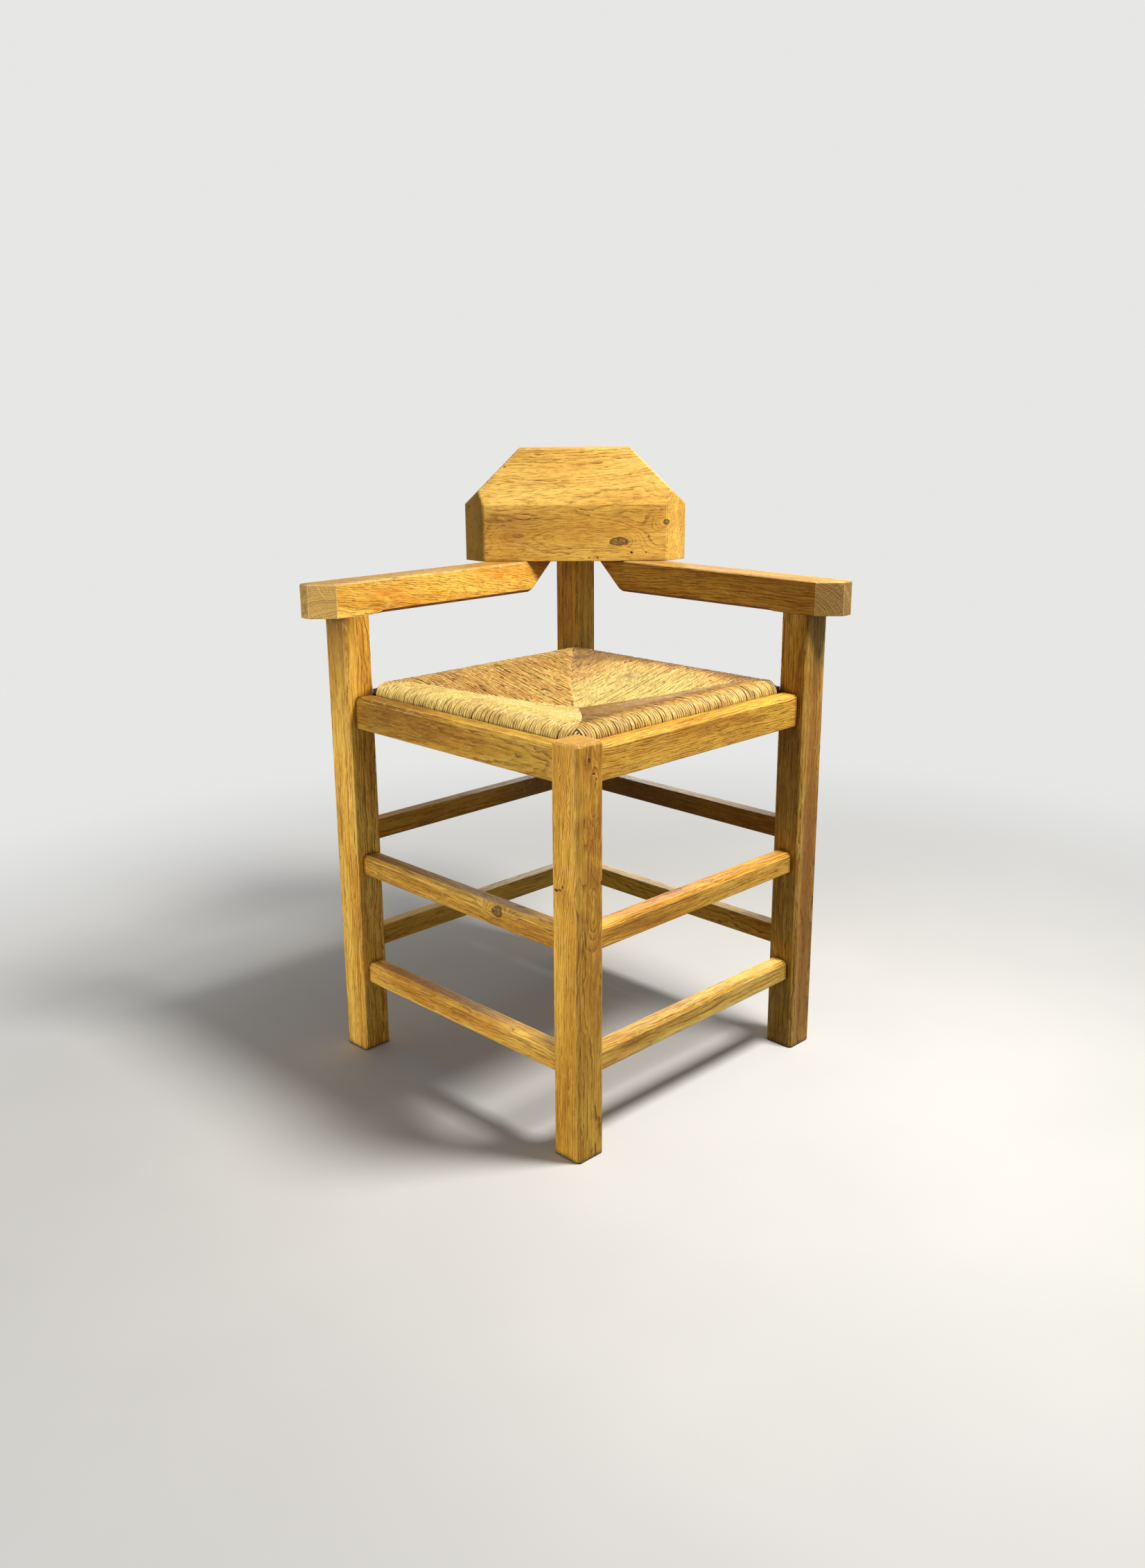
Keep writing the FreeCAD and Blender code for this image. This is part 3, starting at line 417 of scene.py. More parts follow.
# Pith, lean, spacing and tone of the rails and stretchers
SIDE_LOGS = {
    "front_right_seat_rail": ((10, 95), (-0.5, -3.2), 2.2, (0.97, 0.88, 0.62)),
    "back_right_seat_rail": ((40, 60), (1, 1), 2.6, (0.95, 0.93, 0.9)),
    "back_left_seat_rail": ((-50, 50), (1, -1), 2.4, (0.95, 0.93, 0.9)),
    "front_left_seat_rail": ((85, 6), (1.5, 0.8), 2.2, (0.64, 0.61, 0.39)),
    "front_right_upper_stretcher": ((18, 70), (0.5, 2.0), 2.5, (1.06, 0.99, 0.76)),
    "back_right_upper_stretcher": ((30, -60), (0.5, 1.0), 2.5, (0.80, 0.78, 0.55)),
    "back_left_upper_stretcher": ((-20, 70), (0.5, -1.0), 2.5, (1.02, 1.00, 0.60)),
    "front_left_upper_stretcher": ((24, 64), (-1.0, 2.4), 2.4, (0.82, 0.82, 0.74)),
    "front_right_lower_stretcher": ((60, 40), (0.5, 1.2), 2.7, (1.10, 1.20, 1.35)),
    "back_right_lower_stretcher": ((-60, 10), (0.6, 1.0), 2.5, (1.05, 1.00, 0.65)),
    "back_left_lower_stretcher": ((20, 70), (0.8, -1.0), 2.5, (1.05, 1.03, 0.80)),
    "front_left_lower_stretcher": ((50, -50), (-0.8, 1.6), 2.6, (0.94, 0.90, 0.76)),
}
# The pale and the dark tints of these marks are painted light and painted shade.
SIDE_MARKS = {
    "front_right_seat_rail": {"tints": [((225, -38, 430), (60, 40, 50), 0.6, PAINTED_LIGHT)]},
    "front_left_seat_rail": {
        "tints": [((-230, -33, 430), (60, 40, 50), 0.4, PAINTED_SHADE)],
        "patches": [((-215, -60, 436), (16, 20, 9), 0.5, RED)], "ray": 0.5, "streak": 30},
    "back_right_upper_stretcher": {"tints": [((80, 178, 278), (120, 40, 40), 0.8, PAINTED_SHADE)]},
    "back_left_upper_stretcher": {"tints": [((-50, 208, 278), (80, 40, 40), 0.85, PAINTED_SHADE)]},
    "front_left_upper_stretcher": {
        "knots": [((-86.9, -188.1, 247), (7, 8, 5.5), 0.75)],
        "swirls": [((-86.9, -188.1, 246), (24, 30, 9), 7.0)]},
    "back_right_lower_stretcher": {"tints": [((70, 188, 140), (75, 40, 40), 1.0, PAINTED_LIGHT)]},
    "back_left_lower_stretcher": {"tints": [((-130, 128, 140), (220, 40, 40), 0.9, PAINTED_LIGHT)]},
}


def corner(quarter, level):
    """Centre of a leg: 0 front, 1 right, 2 back, 3 left."""
    angle = math.radians(90 * quarter - 90)
    reach = LEG_SQUARE / math.sqrt(2)
    return (reach * math.cos(angle), reach * math.sin(angle), level)


def leg_timbers():
    front = Timber(
        corner(0, 228), UP, FRONT_RIGHT, pith=(-70, 12), lean=(-1.2, 0.9), spacing=2.1,
        tone=(1.08, 1.06, 0.80), seed=3.1,
        knots=[((-21.6, -268.4, 301.2), (1.7, 3.0, 3.0), 0.95),
               ((-18.0, -272, 302.4), (1.3, 2.8, 2.8), 0.8),
               ((-14.9, -275, 306.5), (1.8, 1.4, 1.4), 0.8),
               ((24.2, -265.7, 307.5), (3, 2, 2), 0.9),
               ((11.8, -278.1, 438.4), (3, 2, 2), 0.6), ((16.5, -273.5, 424), (1.6, 2, 2.4), 0.7),
               ((19, -271, 418), (2.0, 2, 1.2), 0.7)],
        swirls=[((16.4, -273.5, 283), (34, 30, 10), 5.0), ((18, -272, 392), (40, 30, 9), 4.0),
                ((14, -275, 335), (22, 30, 7), 2.5), ((-19, -272, 300), (20, 30, 20), 1.6),
                ((-16, -274, 419), (10, 12, 12), 3.0), ((-14, -276, 388), (14, 12, 12), 3.5),
                ((-15, -275, 365), (6, 12, 12), 2.0)],
        patches=[((17, -272, 330), (190, 14, 20), 0.75, RED),
                 ((-20, -270, 297), (9, 14, 14), 0.5, RED)],
        open_grain=0.6, end=(0.60, 0.33, 0.075), figure=0.9, arris=0.0026, rub_and_glint=0.35, blotch=0.6)
    left = Timber(
        corner(3, 270), UP, FRONT_RIGHT, pith=(58, 24), lean=(0.8, 1.5), spacing=2.2,
        tone=(1.09, 1.06, 0.86), seed=7.7,
        tints=[((-276, -13, 520), (90, 40, 8), 0.85, (0.38, 0.21, 0.032)),
               # painted shadow of the arm over the top of the leg
               ((-276, -13, 544), (20, 40, 14), 1.0, (0.06, 0.035, 0.009))],
        patches=[((-247, -16, 500), (40, 10, 16), 0.3, RED),
                 ((-268, -20, 520), (36, 7, 8), 0.75, (0.22, 0.11, 0.02))],
        open_grain=1.1, figure=1.0, arris=0.002, rub_and_glint=0.3)
    right = Timber(
        corner(1, 270), UP, FRONT_RIGHT, pith=(-58, 20), lean=(-1.4, 0.6), spacing=2.2,
        tone=(0.98, 1.06, 1.10), seed=11.3,
        # The tint darkens the leg's right face: partly darker wood, partly painted shade.
        tints=[((277, -14, 220), (260, 40, 12), 1.0, (0.33, 0.115, 0.009))],
        patches=[((277, -14, 320), (240, 12, 12), 0.6, RED)],
        open_grain=1.0, figure=1.0, arris=0.002, rub_and_glint=0.3)
    back = Timber(
        corner(2, 338), UP, FRONT_RIGHT, pith=(-30, -66), lean=(0.9, 1.1), spacing=2.3,
        tone=(1.14, 1.14, 0.95), seed=5.9, open_grain=1.0, figure=1.0)
    return {"front_leg": front, "left_leg": left, "right_leg": right, "back_post": back}


def side_timbers():
    """Rails and stretchers of the four sides, centred on the outer half of the rail."""
    made = {}
    for order, (name, (pith, lean, spacing, tone)) in enumerate(SIDE_LOGS.items()):
        side = next(side for side in QUARTERS if name.startswith(side))
        levels = FRONT_LEVELS if side.startswith("front") else BACK_LEVELS
        angle = math.radians(90 * QUARTERS[side] - 45)
        outward = (math.cos(angle), math.sin(angle), 0)
        grain = (-outward[1], outward[0], 0)
        centre = (SIDE_REACH * outward[0], SIDE_REACH * outward[1], levels[name[len(side) + 1:]])
        seed = 13.0 + 2.3 * order
        marks = SIDE_MARKS.get(name, {})
        made[name] = Timber(centre, grain, outward, pith, lean, spacing, tone, seed, **marks)
    return made


def top_timbers():
    left = Timber(
        (-180, 83, 559.5), BACK_RIGHT, FRONT_RIGHT, pith=(20, 78), lean=(-9, -3.4), spacing=2.2,
        tone=(1.14, 1.10, 0.92), seed=41.2,
        # The tint is painted shade on the top face of the arm.
        tints=[((-180, 98, 582), (400, 90, 5), 1.0, (0.33, 0.22, 0.07))],
        patches=[((-214, 22, 559.8), (32, 14, 9), 0.9, RUST),
                 ((-97, 139, 570), (44, 14, 12), 0.85, RUST),
                 ((-307, -27, 560), (8, 7, 60), 0.75, (0.16, 0.10, 0.025))],
        open_grain=0.95, end=(0.51, 0.318, 0.100), dash=120, streak=40, wild=2.2, arris=0.0018,
        rub_and_glint=1.0)
    right = Timber(
        (180, 83, 559.5), BACK_LEFT, FRONT_LEFT, pith=(64, -40), lean=(1.0, 1.4), spacing=2.1,
        tone=(0.94, 0.91, 0.80), seed=47.9,
        # The tint is painted shade on the top face of the arm.
        tints=[((180, 98, 582), (400, 90, 5), 0.9, (0.44, 0.30, 0.13))],
        open_grain=0.9, figure=0.9, end=(0.44, 0.26, 0.085), streak=22)
    block = Timber(
        (0, 211, 648), (1, 0, 0), (0, -1, 0), pith=(-64, 30), lean=(1.6, 0.6), spacing=1.6,
        tone=(0.99, 1.02, 1.09), seed=53.4,
        knots=[((54.9, 175.2, 603.5), (10, 7, 4.6), 0.8),
               ((115, 175.2, 627.3), (3.6, 5, 3.0), 0.9),
               ((70.8, 175.2, 589.5), (2.0, 2, 1.6), 1.0),
               ((27.8, 175.2, 582.8), (1.6, 2, 1.4), 0.8),
               ((17.3, 175.2, 582.9), (1.4, 2, 1.2), 0.8),
               ((89.2, 175.2, 589.4), (1.4, 2, 1.2), 0.8),
               ((-112.5, 175.2, 589.7), (2.8, 3, 1.0), 0.7),
               ((-89, 190, 695), (2.8, 3, 1.4), 0.5)],
        swirls=[((-5, 175, 611), (60, 60, 18), 9.0), ((54.9, 175, 603.5), (28, 30, 14), 5.0),
                ((115, 176, 627.3), (17, 30, 12), 5.0), ((112, 180, 668), (20, 30, 16), 2.2),
                ((139, 192, 612), (9, 30, 22), 6.0), ((-82, 175, 612), (24, 40, 12), 4.0),
                ((10, 186, 690), (70, 30, 14), 3.0)],
        # The first tint is painted light on the upper slope of the front.
        tints=[((0, 188, 684), (150, 30, 34), 0.40, (0.88, 0.59, 0.15)),
               ((-140, 194, 620), (15, 30, 70), 1.0, (0.98, 0.60, 0.10)),
               ((-10, 184, 695), (45, 12, 12), 0.5, (0.72, 0.33, 0.04)),
               ((-88, 176, 628), (70, 12, 11), 0.85, (0.50, 0.27, 0.05))],
        patches=[((-77, 175, 609), (26, 10, 14), 0.45, RED),
                 ((141, 196, 636), (7, 12, 22), 0.8, (0.62, 0.24, 0.02)),
                 ((-135, 187, 622), (12, 26, 60), 0.7, (0.98, 0.58, 0.10))],
        ray=0.2, open_grain=0.9, end=(0.90, 0.53, 0.095), bare_end=0.25, figure=0.7, dash=80,
        streak=56, arris=0.0016, rub_and_glint=1.0, wild=0.7, ripple=0.0022, blotch=0.5)
    return {"left_arm": left, "right_arm": right, "head_block": block}


def brace_timbers():
    made = {}
    for quarter, name in enumerate(["front", "right", "back", "left"]):
        x, y, level = corner(quarter, 423)
        made[name + "_corner_brace"] = Timber(
            (x, y, level), (-y, x, 0), (-x, -y, 0), pith=(30, 50), lean=(1, 2), spacing=2.5,
            tone=(0.9, 0.88, 0.85), seed=60.0 + quarter)
    return made


# Beech frame and dowels, screws

def beech_material():
    material, tree, shader = new_material("beech", 0.6)
    inputs = {"Vector": tree.place(), "Rotation": (0, 0, math.pi / 4), "Scale": (60, 60, 420)}
    flecks = tree.noise(tree.node("ShaderNodeMapping", inputs).outputs[0], detail=3)
    colour = tree.ramp(flecks, [(0.3, (0.50, 0.32, 0.18)), (0.7, (0.66, 0.46, 0.28))])
    tree.feed(shader.inputs["Base Color"], colour)
    tree.feed(shader.inputs["Normal"], tree.bump(flecks, 0.3, 0.0003))
    return material


def steel_material():
    material, tree, shader = new_material("screw_steel", 0.35)
    shader.inputs["Metallic"].default_value = 1.0
    dull = tree.noise(tree.place(), 900, detail=2)
    colour = tree.ramp(dull, [(0.3, (0.42, 0.41, 0.39)), (0.7, (0.60, 0.59, 0.57))])
    tree.feed(shader.inputs["Base Color"], colour)
    tree.feed(shader.inputs["Roughness"], tree.math("MULTIPLY_ADD", dull, 0.3, 0.2))
    return material


def dress(node, material):
    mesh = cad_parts[node].data
    mesh.materials.clear()
    mesh.materials.append(material)


# Rush seat
# Cords wound over the seat frame, in four panels that meet on the mitres of a dished top. Sizes in
# mm, in a frame turned 45 degrees to the row frame: t is the distance from the middle towards a
# side, s the place along that side. Panels: 0 front right, 1 back right, 2 back left, 3 front left.

SEAT_HALF = 173.1
RUSH_BOTTOM, RUSH_HEIGHT, ROLL, DIP, SAG = 433.0, 28.0, 17.0, 31.0, 14.0
HALF_WAY_UP = RUSH_BOTTOM + RUSH_HEIGHT / 2
MIDDLE, FRAME_INNER = 5.0, 141.0    # half widths of the lowest spot and of the frame's opening
CORNER_CUT = 15.8
CUT_CORDS = (1.6, 4.6, 7.4)         # places of the cords beyond the uncut part of a side
BEND, BEND_SOFT, BELLY = 0.13, 0.06, 0.05       # shape of the dish from the roll to the middle
PITCH = 3.45
CORD_HALF, CORD_REACH = 2.0, 1.86   # half the height and half the width of a cord
CORD_SIDES = 8
ROLL_STEPS, TOP_STEP, UNDER_STEP = 12, 6, 25
ROLL_FOOT, FOOT_CLEAR = 156, 6      # no cord ends just at the foot of the roll
STEEPEST_START = 0.80               # cosine where the shortest cords start on the roll
SEAM_BOW, SEAM_LENGTH = 11, 160
LEAST_EDGE, CUT_CLEAR = 3.0, 0.5    # nearest to the middle, and short of the cut corners
TUCK_START = ((2.4, 4.2), (1.3, 1.5), (0.0, 0.35))      # back and down, as the next one
TUCK_END = (1.5, -3.0)
HIDDEN_BROWN = 0.25

# Ranges of what differs between cords. The cords of two panels cross over those of the others.
ASIDE, SIZE, HIGH, BOW = (-0.25, 0.25), (0.92, 1.06), (-0.28, 0.10), (-0.5, 0.5)
OVER_ABOVE, OVER_BELOW = (0.2, 2.4), (-1.8, 0.6)
LIFT_ABOVE, LIFT_BELOW = 0.9, -0.2


def smooth(value, low, high):
    share = min(max((value - low) / (high - low), 0.0), 1.0)
    return share * share * (3 - 2 * share)


def bend(share):
    """Level up to the bend, then a steady slope."""
    return math.hypot(share - BEND, BEND_SOFT) + share - BEND


def top_level(t, half=SEAT_HALF):
    """Height of the top at a distance from the middle."""
    even = (bend((half - ROLL - t) / (half - ROLL - MIDDLE)) - bend(0)) / (bend(1) - bend(0))
    return RUSH_BOTTOM + RUSH_HEIGHT - DIP * (even + BELLY * math.sin(math.pi * even))


def under_level(t):
    """Height of the underside at a distance from the middle."""
    share = min((t - MIDDLE) / (FRAME_INNER - MIDDLE), 1.0)
    return RUSH_BOTTOM - SAG * (1 + math.cos(math.pi * share)) / 2


def cord_path(edge, half):
    """Centre line of a cord as t and height, from the top mitre over the roll to the one below."""
    inner, radius = half - ROLL, ROLL - CORD_HALF
    begin = 90.0
    points = []
    if edge < inner:
        steps = max(2, int((inner - edge) / TOP_STEP) + 1)
        for step in range(steps):
            t = edge + (inner - edge) * step / steps
            points.append((t, top_level(t, half) - CORD_HALF))
    else:
        begin = math.degrees(math.acos(min((edge - inner) / radius, STEEPEST_START)))
    for step in range(ROLL_STEPS + 1):
        angle = math.radians(begin - 2 * begin * step / ROLL_STEPS)
        level = HALF_WAY_UP + (RUSH_HEIGHT / 2 - CORD_HALF) * math.sin(angle)
        points.append((inner + radius * math.cos(angle), level))
    foot = edge + (FOOT_CLEAR if abs(edge - ROLL_FOOT) < FOOT_CLEAR else 0)
    if foot < inner - 2:
        for t in np.linspace(inner - 1, foot, 2 + int((inner - foot) / UNDER_STEP)):
            points.append((t, under_level(t) + CORD_HALF))
    return points


def tucked(line, over):
    """The line with its ends bent down into the seat, and its start moved over the mitre."""
    t, z = line[0]
    start = [(t - over - back, z - down) for back, down in TUCK_START]
    t, z = line[-1]
    back, down = TUCK_END
    return start + line[1:] + [(t - back, z - down)]


def seam_shift(panel, s):
    """How far a panel's cords reach over the mitre, where the seams bow off the diagonals."""
    bow = SEAM_BOW * math.sin(math.pi * min(abs(s) / SEAM_LENGTH, 1.0))
    if panel in (1, 3) and s > 0:
        return bow
    if panel in (0, 2) and s < 0:
        return -bow
    return 0.0


def browning_and_shade(panel, s, t):
    """Share of old brown leaves on the top, as in the photograph; high shares also add painted
    shade.
    """
    if panel == 0:
        return 0.42 + smooth(t, 167, 143) * (0.85 + 0.25 * smooth(s, 40, -90))
    if panel == 1:
        along = 1.10 * smooth(s, 0, 110) + 0.50 * smooth(s, -50, -120)
        return 0.02 + 1.15 * smooth(t, 105, 160) + along
    inward = smooth(t, 158, 132)
    return 0.64 + 0.26 * inward if panel == 2 else 0.22 - 0.14 * inward


def add_cord(mesh, cord, line):
    """Sweep a cord along its line, in closed rings of corners."""
    turn = Matrix.Rotation(math.radians(90 * cord.panel + 45), 3, "Z")
    travelled = previous = 0.0
    base = len(mesh.vertices)
    for step, (t, z) in enumerate(line):
        before, after = line[max(step - 1, 0)], line[min(step + 1, len(line) - 1)]
        tangent = Vector((after[0] - before[0], after[1] - before[1])).normalized()
        if step:
            travelled += math.hypot(t - before[0], z - before[1])
        top = z > HALF_WAY_UP or t < FRAME_INNER and z > under_level(t) + 5
        brown_and_shade = browning_and_shade(cord.panel, cord.s, t) if top else HIDDEN_BROWN
        # Slight waves to the side and in thickness, and a lift where it crosses the mitre
        sway = 0.38 * math.sin(travelled / 9 + cord.phase)
        sway += 0.6 * cord.bow * math.sin(travelled / 40)
        sway += 0.16 * math.sin(travelled / 4.1 + 2 * cord.phase)
        thick = cord.size * (1 + 0.10 * math.sin(travelled / 5.3 + cord.phase * 3))
        near_mitre = cord.lift * max(0, 1 - travelled / 16)
        for k in range(CORD_SIDES):
            around = 2 * math.pi * k / CORD_SIDES
            across = cord.s + sway + CORD_REACH * thick * math.cos(around)
            out = (CORD_HALF - 0.1) * min(thick, 1.03) * math.sin(around) + cord.high + near_mitre
            point = Vector((across, -(t - tangent.y * out), z + tangent.x * out))
            mesh.vertices.append(turn @ point / 1000)
            mesh.tints.append((cord.hue, brown_and_shade, travelled / 1000))
        if step:
            first = base + (step - 1) * CORD_SIDES
            u0, u1 = previous / 1000, travelled / 1000
            for k in range(CORD_SIDES):
                a, b = first + k, first + (k + 1) % CORD_SIDES
                mesh.faces.append((a, a + CORD_SIDES, b + CORD_SIDES, b))
                v0, v1 = k / CORD_SIDES, (k + 1) / CORD_SIDES
                mesh.uv += [(u0, v0), (u1, v0), (u1, v1), (u0, v1)]
        previous = travelled
    for ring in (base, len(mesh.vertices) - CORD_SIDES):
        mesh.faces.append(tuple(range(ring, ring + CORD_SIDES)))
        mesh.uv += [(0, 0)] * CORD_SIDES


def rush_cords():
    """Vertices, faces, UVs and tints (hue, browning with painted shade, run) of every cord."""
    dice = random.Random(20)
    mesh = SimpleNamespace(vertices=[], faces=[], uv=[], tints=[])
    reach = SEAT_HALF - CORNER_CUT
    count = int(2 * reach / PITCH)
    places = [-reach + (index + 0.5) * 2 * reach / count for index in range(count)]
    beyond = [reach + place for place in CUT_CORDS]
    places = [-place for place in reversed(beyond)] + places + beyond
    for panel in range(4):
        above = panel in (1, 3)
        for place in places:
            s = place + dice.uniform(*ASIDE)
            half = SEAT_HALF
            if abs(s) >= reach:
                half = 2 * SEAT_HALF - CORNER_CUT - abs(s) - CUT_CLEAR
            edge = max(abs(s) - seam_shift(panel, s), LEAST_EDGE)
            over = dice.uniform(*(OVER_ABOVE if above else OVER_BELOW))
            cord = SimpleNamespace(
                panel=panel, s=s, lift=LIFT_ABOVE if above else LIFT_BELOW,
                size=dice.uniform(*SIZE), high=dice.uniform(*HIGH), phase=dice.uniform(0, 6.28),
                hue=dice.random(), bow=dice.uniform(*BOW))
            add_cord(mesh, cord, tucked(cord_path(edge, half), over))
    return mesh


# Stuffing: how far it lies inside the cords at the faces, the middle and the cut corners, and the
# corners (half width, height) of its hollow for the seat frame
CORE_INSET, CORE_MIDDLE, CORE_CORNER, CORE_LEAST_CUT = 2.6, 4, 3.0, 0.6
CHANNEL = ((167.9, 438.1), (167.9, 452.7), (141.3, 452.7), (141.3, 438.1))
SQUARE = ((1, -1), (1, 1), (-1, 1), (-1, -1))
OCTAGON = ((1, -1, 0), (1, -1, 1), (1, 1, 1), (1, 1, 0),
           (-1, 1, 0), (-1, 1, 1), (-1, -1, 1), (-1, -1, 0))


def core_profile():
    """Rings as half width and height: along the underside, round the roll and back over the top."""
    inner = SEAT_HALF - ROLL
    for step in range(7):
        t = CORE_MIDDLE + (FRAME_INNER - CORE_MIDDLE) * step / 7
        yield t, under_level(t) + CORE_INSET
    for step in range(9):
        angle = math.radians(22.5 * step - 90)
        level = HALF_WAY_UP + (RUSH_HEIGHT / 2 - CORE_INSET) * math.sin(angle)
        yield inner + (ROLL - CORE_INSET) * math.cos(angle), level
    for step in range(1, 11):
        t = inner + (CORE_MIDDLE - inner) * step / 10
        yield t, top_level(t) - CORE_INSET


def rush_core():
    """Closed stuffing just below the cords, hollow round the seat frame."""
    vertices, faces = [], []
    turn = Matrix.Rotation(math.radians(45), 3, "Z")
    limit = 2 * SEAT_HALF - CORNER_CUT - CORE_CORNER
    rings = list(core_profile())
    for half, level in rings:
        cut = max(CORE_LEAST_CUT, 2 * half - limit)
        for right, back, along_side in OCTAGON:
            x, y = (half, half - cut) if along_side else (half - cut, half)
            vertices.append(turn @ Vector((right * x, back * y, level)) / 1000)
    for ring in range(len(rings) - 1):
        for k in range(8):
            a, b = ring * 8 + k, ring * 8 + (k + 1) % 8
            faces.append((a, b, b + 8, a + 8))
    faces.append(tuple(range(7, -1, -1)))
    faces.append(tuple(range(len(vertices) - 8, len(vertices))))
    base = len(vertices)
    for half, level in CHANNEL:
        for right, back in SQUARE:
            vertices.append(turn @ Vector((right * half, back * half, level)) / 1000)
    for ring in range(4):
        here, onward = base + ring * 4, base + (ring + 1) % 4 * 4
        for k in range(4):
            after = (k + 1) % 4
            faces.append((here + after, here + k, onward + k, onward + after))
    return vertices, faces


def core_shade_material():
    material, tree, shader = new_material("rush_core", 0.9)
    core_speckle = tree.noise(tree.place(), 300, detail=3)
    # Near black: painted shade in the gaps between the cords, over the stuffing
    colour = tree.ramp(core_speckle, [(0.3, (0.020, 0.010, 0.004)), (0.7, (0.055, 0.028, 0.009))])
    tree.feed(shader.inputs["Base Color"], colour)
    tree.feed(shader.inputs["Normal"], tree.bump(core_speckle, 0.6, 0.001))
    tree.feed(shader.inputs["Roughness"], tree.math("MULTIPLY_ADD", core_speckle, 0.2, 0.75))
    return material


STRAW = [(0.32, (0.38, 0.238, 0.056)), (0.47, (0.55, 0.40, 0.100)), (0.62, (0.70, 0.56, 0.162))]
OLD = [(0.32, (0.37, 0.170, 0.032)), (0.47, (0.58, 0.300, 0.064)), (0.62, (0.76, 0.470, 0.120))]
GREENISH, PINKISH = (0.42, 0.43, 0.11), (0.62, 0.38, 0.20)
FIBRE_DARK, FIBRE_PALE = (0.22, 0.105, 0.024), (0.95, 0.80, 0.36)
# Colours of painted shade on the cord sides and in the gaps, and of dust with painted shade
SIDE_SHADE, GAP_SHADE, DUST_AND_SHADE = (0.13, 0.060, 0.014), (0.07, 0.032, 0.009), (0.40, 0.36, 0.33)
TWISTS_PER_METRE = 42.0


def rush_material():
    material, tree, shader = new_material("rush_cord", 0.5)
    shader.inputs["Specular IOR Level"].default_value = 0.35
    strand = tree.node("ShaderNodeAttribute", attribute_name="cord", attribute_type="GEOMETRY")
    hue, brown_and_shade, run = tree.split(strand.outputs["Vector"])
    u, v, _ = tree.split(tree.node("ShaderNodeUVMap", uv_map="lay").outputs[0])

    def cord_noise(per_cord, per_metre, layer, detail=2):
        """Noise that differs from cord to cord and changes along each."""
        place = tree.join(tree.times(hue, per_cord), tree.times(run, per_metre), layer)
        return tree.noise(place, detail=detail)

    # Leaves change along a cord as new ones are twisted in
    leaf = cord_noise(57.0, 26.0, 2.0)
    patch = tree.noise(tree.place(), 26, detail=3)
    tone = tree.math("ADD", tree.times(leaf, 0.6), tree.times(patch, 0.4))
    share = tree.sway(cord_noise(71.0, 34.0, 6.0), 1.1, brown_and_shade, clamp=True)
    colour = tree.mix(share, tree.ramp(tone, STRAW, "LINEAR"), tree.ramp(tone, OLD, "LINEAR"))
    tint = cord_noise(91.0, 9.0, 4.0, detail=1)
    colour = tree.mix(tree.step(tint, 0.57, 0.70, 0.30), colour, GREENISH)
    colour = tree.mix(tree.step(tint, 0.43, 0.30, 0.30), colour, PINKISH)

    # Twist, split fibres, painted shade on cord sides and in flecks, dust with painted shade
    twist = tree.math("MULTIPLY_ADD", u, TWISTS_PER_METRE, v)
    fibre = tree.join(tree.times(twist, 8.0), tree.times(u, 110.0), tree.times(hue, 31.0))
    fibre = tree.noise(fibre, detail=3)
    colour = tree.mix(tree.step(fibre, 0.55, 0.68, 0.65), colour, FIBRE_DARK)
    colour = tree.mix(tree.step(fibre, 0.44, 0.32, 0.70), colour, FIBRE_PALE)
    # Painted shade on the sides of each cord, away from its crown
    crown = tree.math("SINE", tree.times(v, 2 * math.pi))
    nick = cord_noise(83.0, 85.0, tree.times(v, 2.0))
    colour = tree.mix(tree.step(tree.sway(nick, 1.5, crown), 0.95, 0.20, 0.9), colour, SIDE_SHADE)
    # Painted shade of the gaps between cords, as dark flecks on the browner cords
    gap_shade_mask = tree.times(tree.step(nick, 0.60, 0.70), tree.step(brown_and_shade, 0.3, 0.9, 0.75))
    colour = tree.mix(gap_shade_mask, colour, GAP_SHADE)
    # Dust with painted shade where the browning share runs high
    shade = tree.step(tree.sway(nick, 1.6, brown_and_shade), 0.85, 1.40, 0.8)
    tree.feed(shader.inputs["Base Color"], tree.mix(shade, colour, DUST_AND_SHADE, "MULTIPLY"))
    strands = tree.math("SINE", tree.times(twist, 2 * math.pi))
    height = tree.math("MULTIPLY_ADD", strands, 0.25, fibre)
    tree.feed(shader.inputs["Normal"], tree.bump(height, 0.7, 0.0005))
    tree.feed(shader.inputs["Roughness"], tree.math("MULTIPLY_ADD", fibre, 0.3, 0.34))
    return material


def make_rush():
    cords = rush_cords()
    core_vertices, core_faces = rush_core()
    shift = len(cords.vertices)
    faces = cords.faces + [tuple(shift + index for index in face) for face in core_faces]
    uv = cords.uv + [(0, 0)] * sum(len(face) for face in core_faces)
    tints = cords.tints + [(0, 0, 0)] * len(core_vertices)
    mesh = bpy.data.meshes.new("rush_weave")
    mesh.from_pydata([tuple(v) for v in cords.vertices + core_vertices], [], faces)
    mesh.materials.append(rush_material())
    mesh.materials.append(core_shade_material())
    slots = np.zeros(len(faces), np.int32)
    slots[len(cords.faces):] = 1
    mesh.polygons.foreach_set("material_index", slots)
    mesh.polygons.foreach_set("use_smooth", slots == 0)
    layer = mesh.uv_layers.new(name="lay")
    layer.data.foreach_set("uv", np.array(uv, np.float32).ravel())
    attribute = mesh.attributes.new("cord", "FLOAT_VECTOR", "POINT")
    attribute.data.foreach_set("vector", np.array(tints, np.float32).ravel())
    mesh.validate()
    weave = bpy.data.objects.new("rush_weave", mesh)
    bpy.context.scene.collection.objects.link(weave)
    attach(weave, "root")
    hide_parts("rush_seat")


# Floor, backdrop and lights

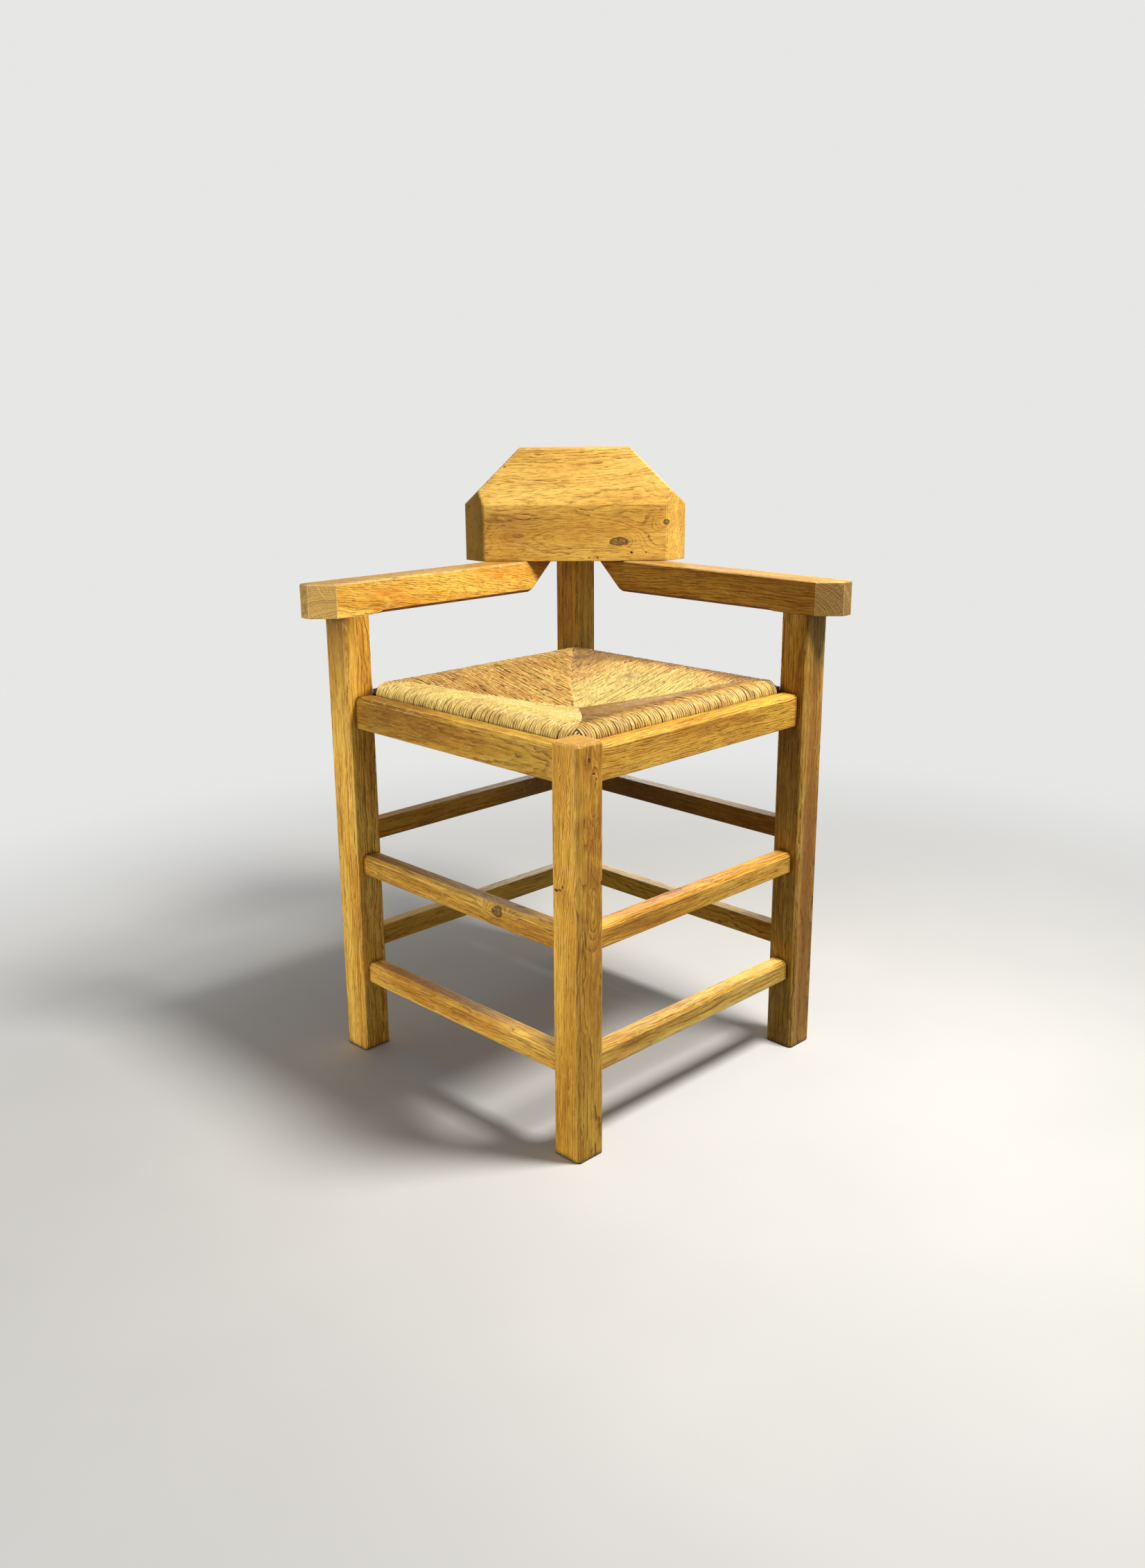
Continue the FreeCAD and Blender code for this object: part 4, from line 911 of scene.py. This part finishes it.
BACKDROP = (0.80, 0.80, 0.79)
FLOOR_RADIUS, FLOOR_SIDES = 14, 64
FLOOR_PAINT = [(0.3, (0.73, 0.73, 0.725)), (0.7, (0.77, 0.77, 0.76))]
FLOOR_BOUNCE = (0.12, 0.12, 0.12)       # what the floor reflects on to the chair
FADE_CENTRE, FADE_FROM, FADE_TO = (0.1, -0.1, 0.0), 0.45, 1.6
WORLD_LIGHT, WORLD_STRENGTH = (1.0, 0.985, 0.96), 0.20


def make_floor():
    """Pale floor that keeps the shadow and fades into the backdrop."""
    mesh = bpy.data.meshes.new("floor")
    rim = [(FLOOR_RADIUS * math.cos(angle), FLOOR_RADIUS * math.sin(angle), 0)
           for angle in np.linspace(0, 2 * math.pi, FLOOR_SIDES, endpoint=False)]
    mesh.from_pydata(rim, [], [tuple(range(FLOOR_SIDES))])
    material, tree, shader = new_material("floor", 0.7)
    where = tree.place()
    paint = tree.ramp(tree.noise(where, 3, detail=3), FLOOR_PAINT)
    bounce = tree.node("ShaderNodeLightPath").outputs["Is Diffuse Ray"]
    tree.feed(shader.inputs["Base Color"], tree.mix(bounce, paint, FLOOR_BOUNCE))
    away = tree.vector("LENGTH", tree.vector("SUBTRACT", where, FADE_CENTRE))
    share = tree.times(tree.step(away, FADE_FROM, FADE_TO), tree.seen())
    glow = tree.node("ShaderNodeEmission", {"Color": (*BACKDROP, 1), "Strength": 1.0})
    blend = tree.node("ShaderNodeMixShader", {0: share, 1: shader.outputs[0], 2: glow.outputs[0]})
    tree.feed(tree.output.inputs["Surface"], blend.outputs[0])
    mesh.materials.append(material)
    floor = bpy.data.objects.new("floor", mesh)
    bpy.context.scene.collection.objects.link(floor)
    return floor


def make_world():
    """A dim warm light, seen as the backdrop."""
    world = bpy.data.worlds.new("studio")
    bpy.context.scene.world = world
    world.use_nodes = True
    world.node_tree.nodes.clear()
    tree = Tree(world.node_tree)
    light, drop = (tree.node("ShaderNodeBackground", {"Color": (*colour, 1), "Strength": strength})
                   for colour, strength in ((WORLD_LIGHT, WORLD_STRENGTH), (BACKDROP, 1.0)))
    inputs = {0: tree.seen(), 1: light.outputs[0], 2: drop.outputs[0]}
    blend = tree.node("ShaderNodeMixShader", inputs)
    tree.node("ShaderNodeOutputWorld", {"Surface": blend.outputs[0]})


def make_lamp(name, place, aim, size, power, colour, spared=()):
    """Round lamp that doesn't light the spared objects."""
    data = bpy.data.lights.new(name, "AREA")
    data.shape = "DISK"
    data.size = size
    data.energy = power
    data.color = colour
    lamp = bpy.data.objects.new(name, data)
    lamp.visible_camera = False
    lamp.location = place
    lamp.rotation_euler = (Vector(aim) - Vector(place)).to_track_quat("-Z", "Y").to_euler()
    bpy.context.scene.collection.objects.link(lamp)
    if spared:
        unlit = bpy.data.collections.new(name + "_spared")
        for piece in spared:
            unlit.objects.link(piece)
        lamp.light_linking.receiver_collection = unlit
        for entry in unlit.collection_objects:
            entry.light_linking.link_state = "EXCLUDE"


make_camera()
timbers = leg_timbers() | side_timbers() | top_timbers() | brace_timbers()
for node, timber in timbers.items():
    dress(node, oak_material("oak_" + node, timber))
beech = beech_material()
for side in QUARTERS:
    dress(side + "_seat_frame", beech)
for dowels in ("left_arm_dowels", "right_arm_dowels", "back_post_dowels"):
    dress(dowels, beech)
dress("seat_screws", steel_material())
make_rush()
floor = make_floor()
make_world()
far_side = [piece for node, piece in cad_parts.items()
            if node.startswith(("right_", "back_", "head_"))]
make_lamp("key", place=(0.66, -0.30, 1.58), aim=(0, 0.05, 0.40), size=0.40, power=31,
          colour=(1.0, 0.97, 0.92))
make_lamp("fill", place=(-0.82, -0.74, 0.42), aim=(-0.05, -0.12, 0.28), size=0.30, power=7.0,
          colour=(1.0, 0.98, 0.95), spared=[floor] + far_side)
make_lamp("back", place=(0.15, 1.60, 0.36), aim=(0, 0, 0.36), size=0.80, power=15,
          colour=(1.0, 0.98, 0.95), spared=[floor])
bpy.context.scene.view_settings.view_transform = "Standard"
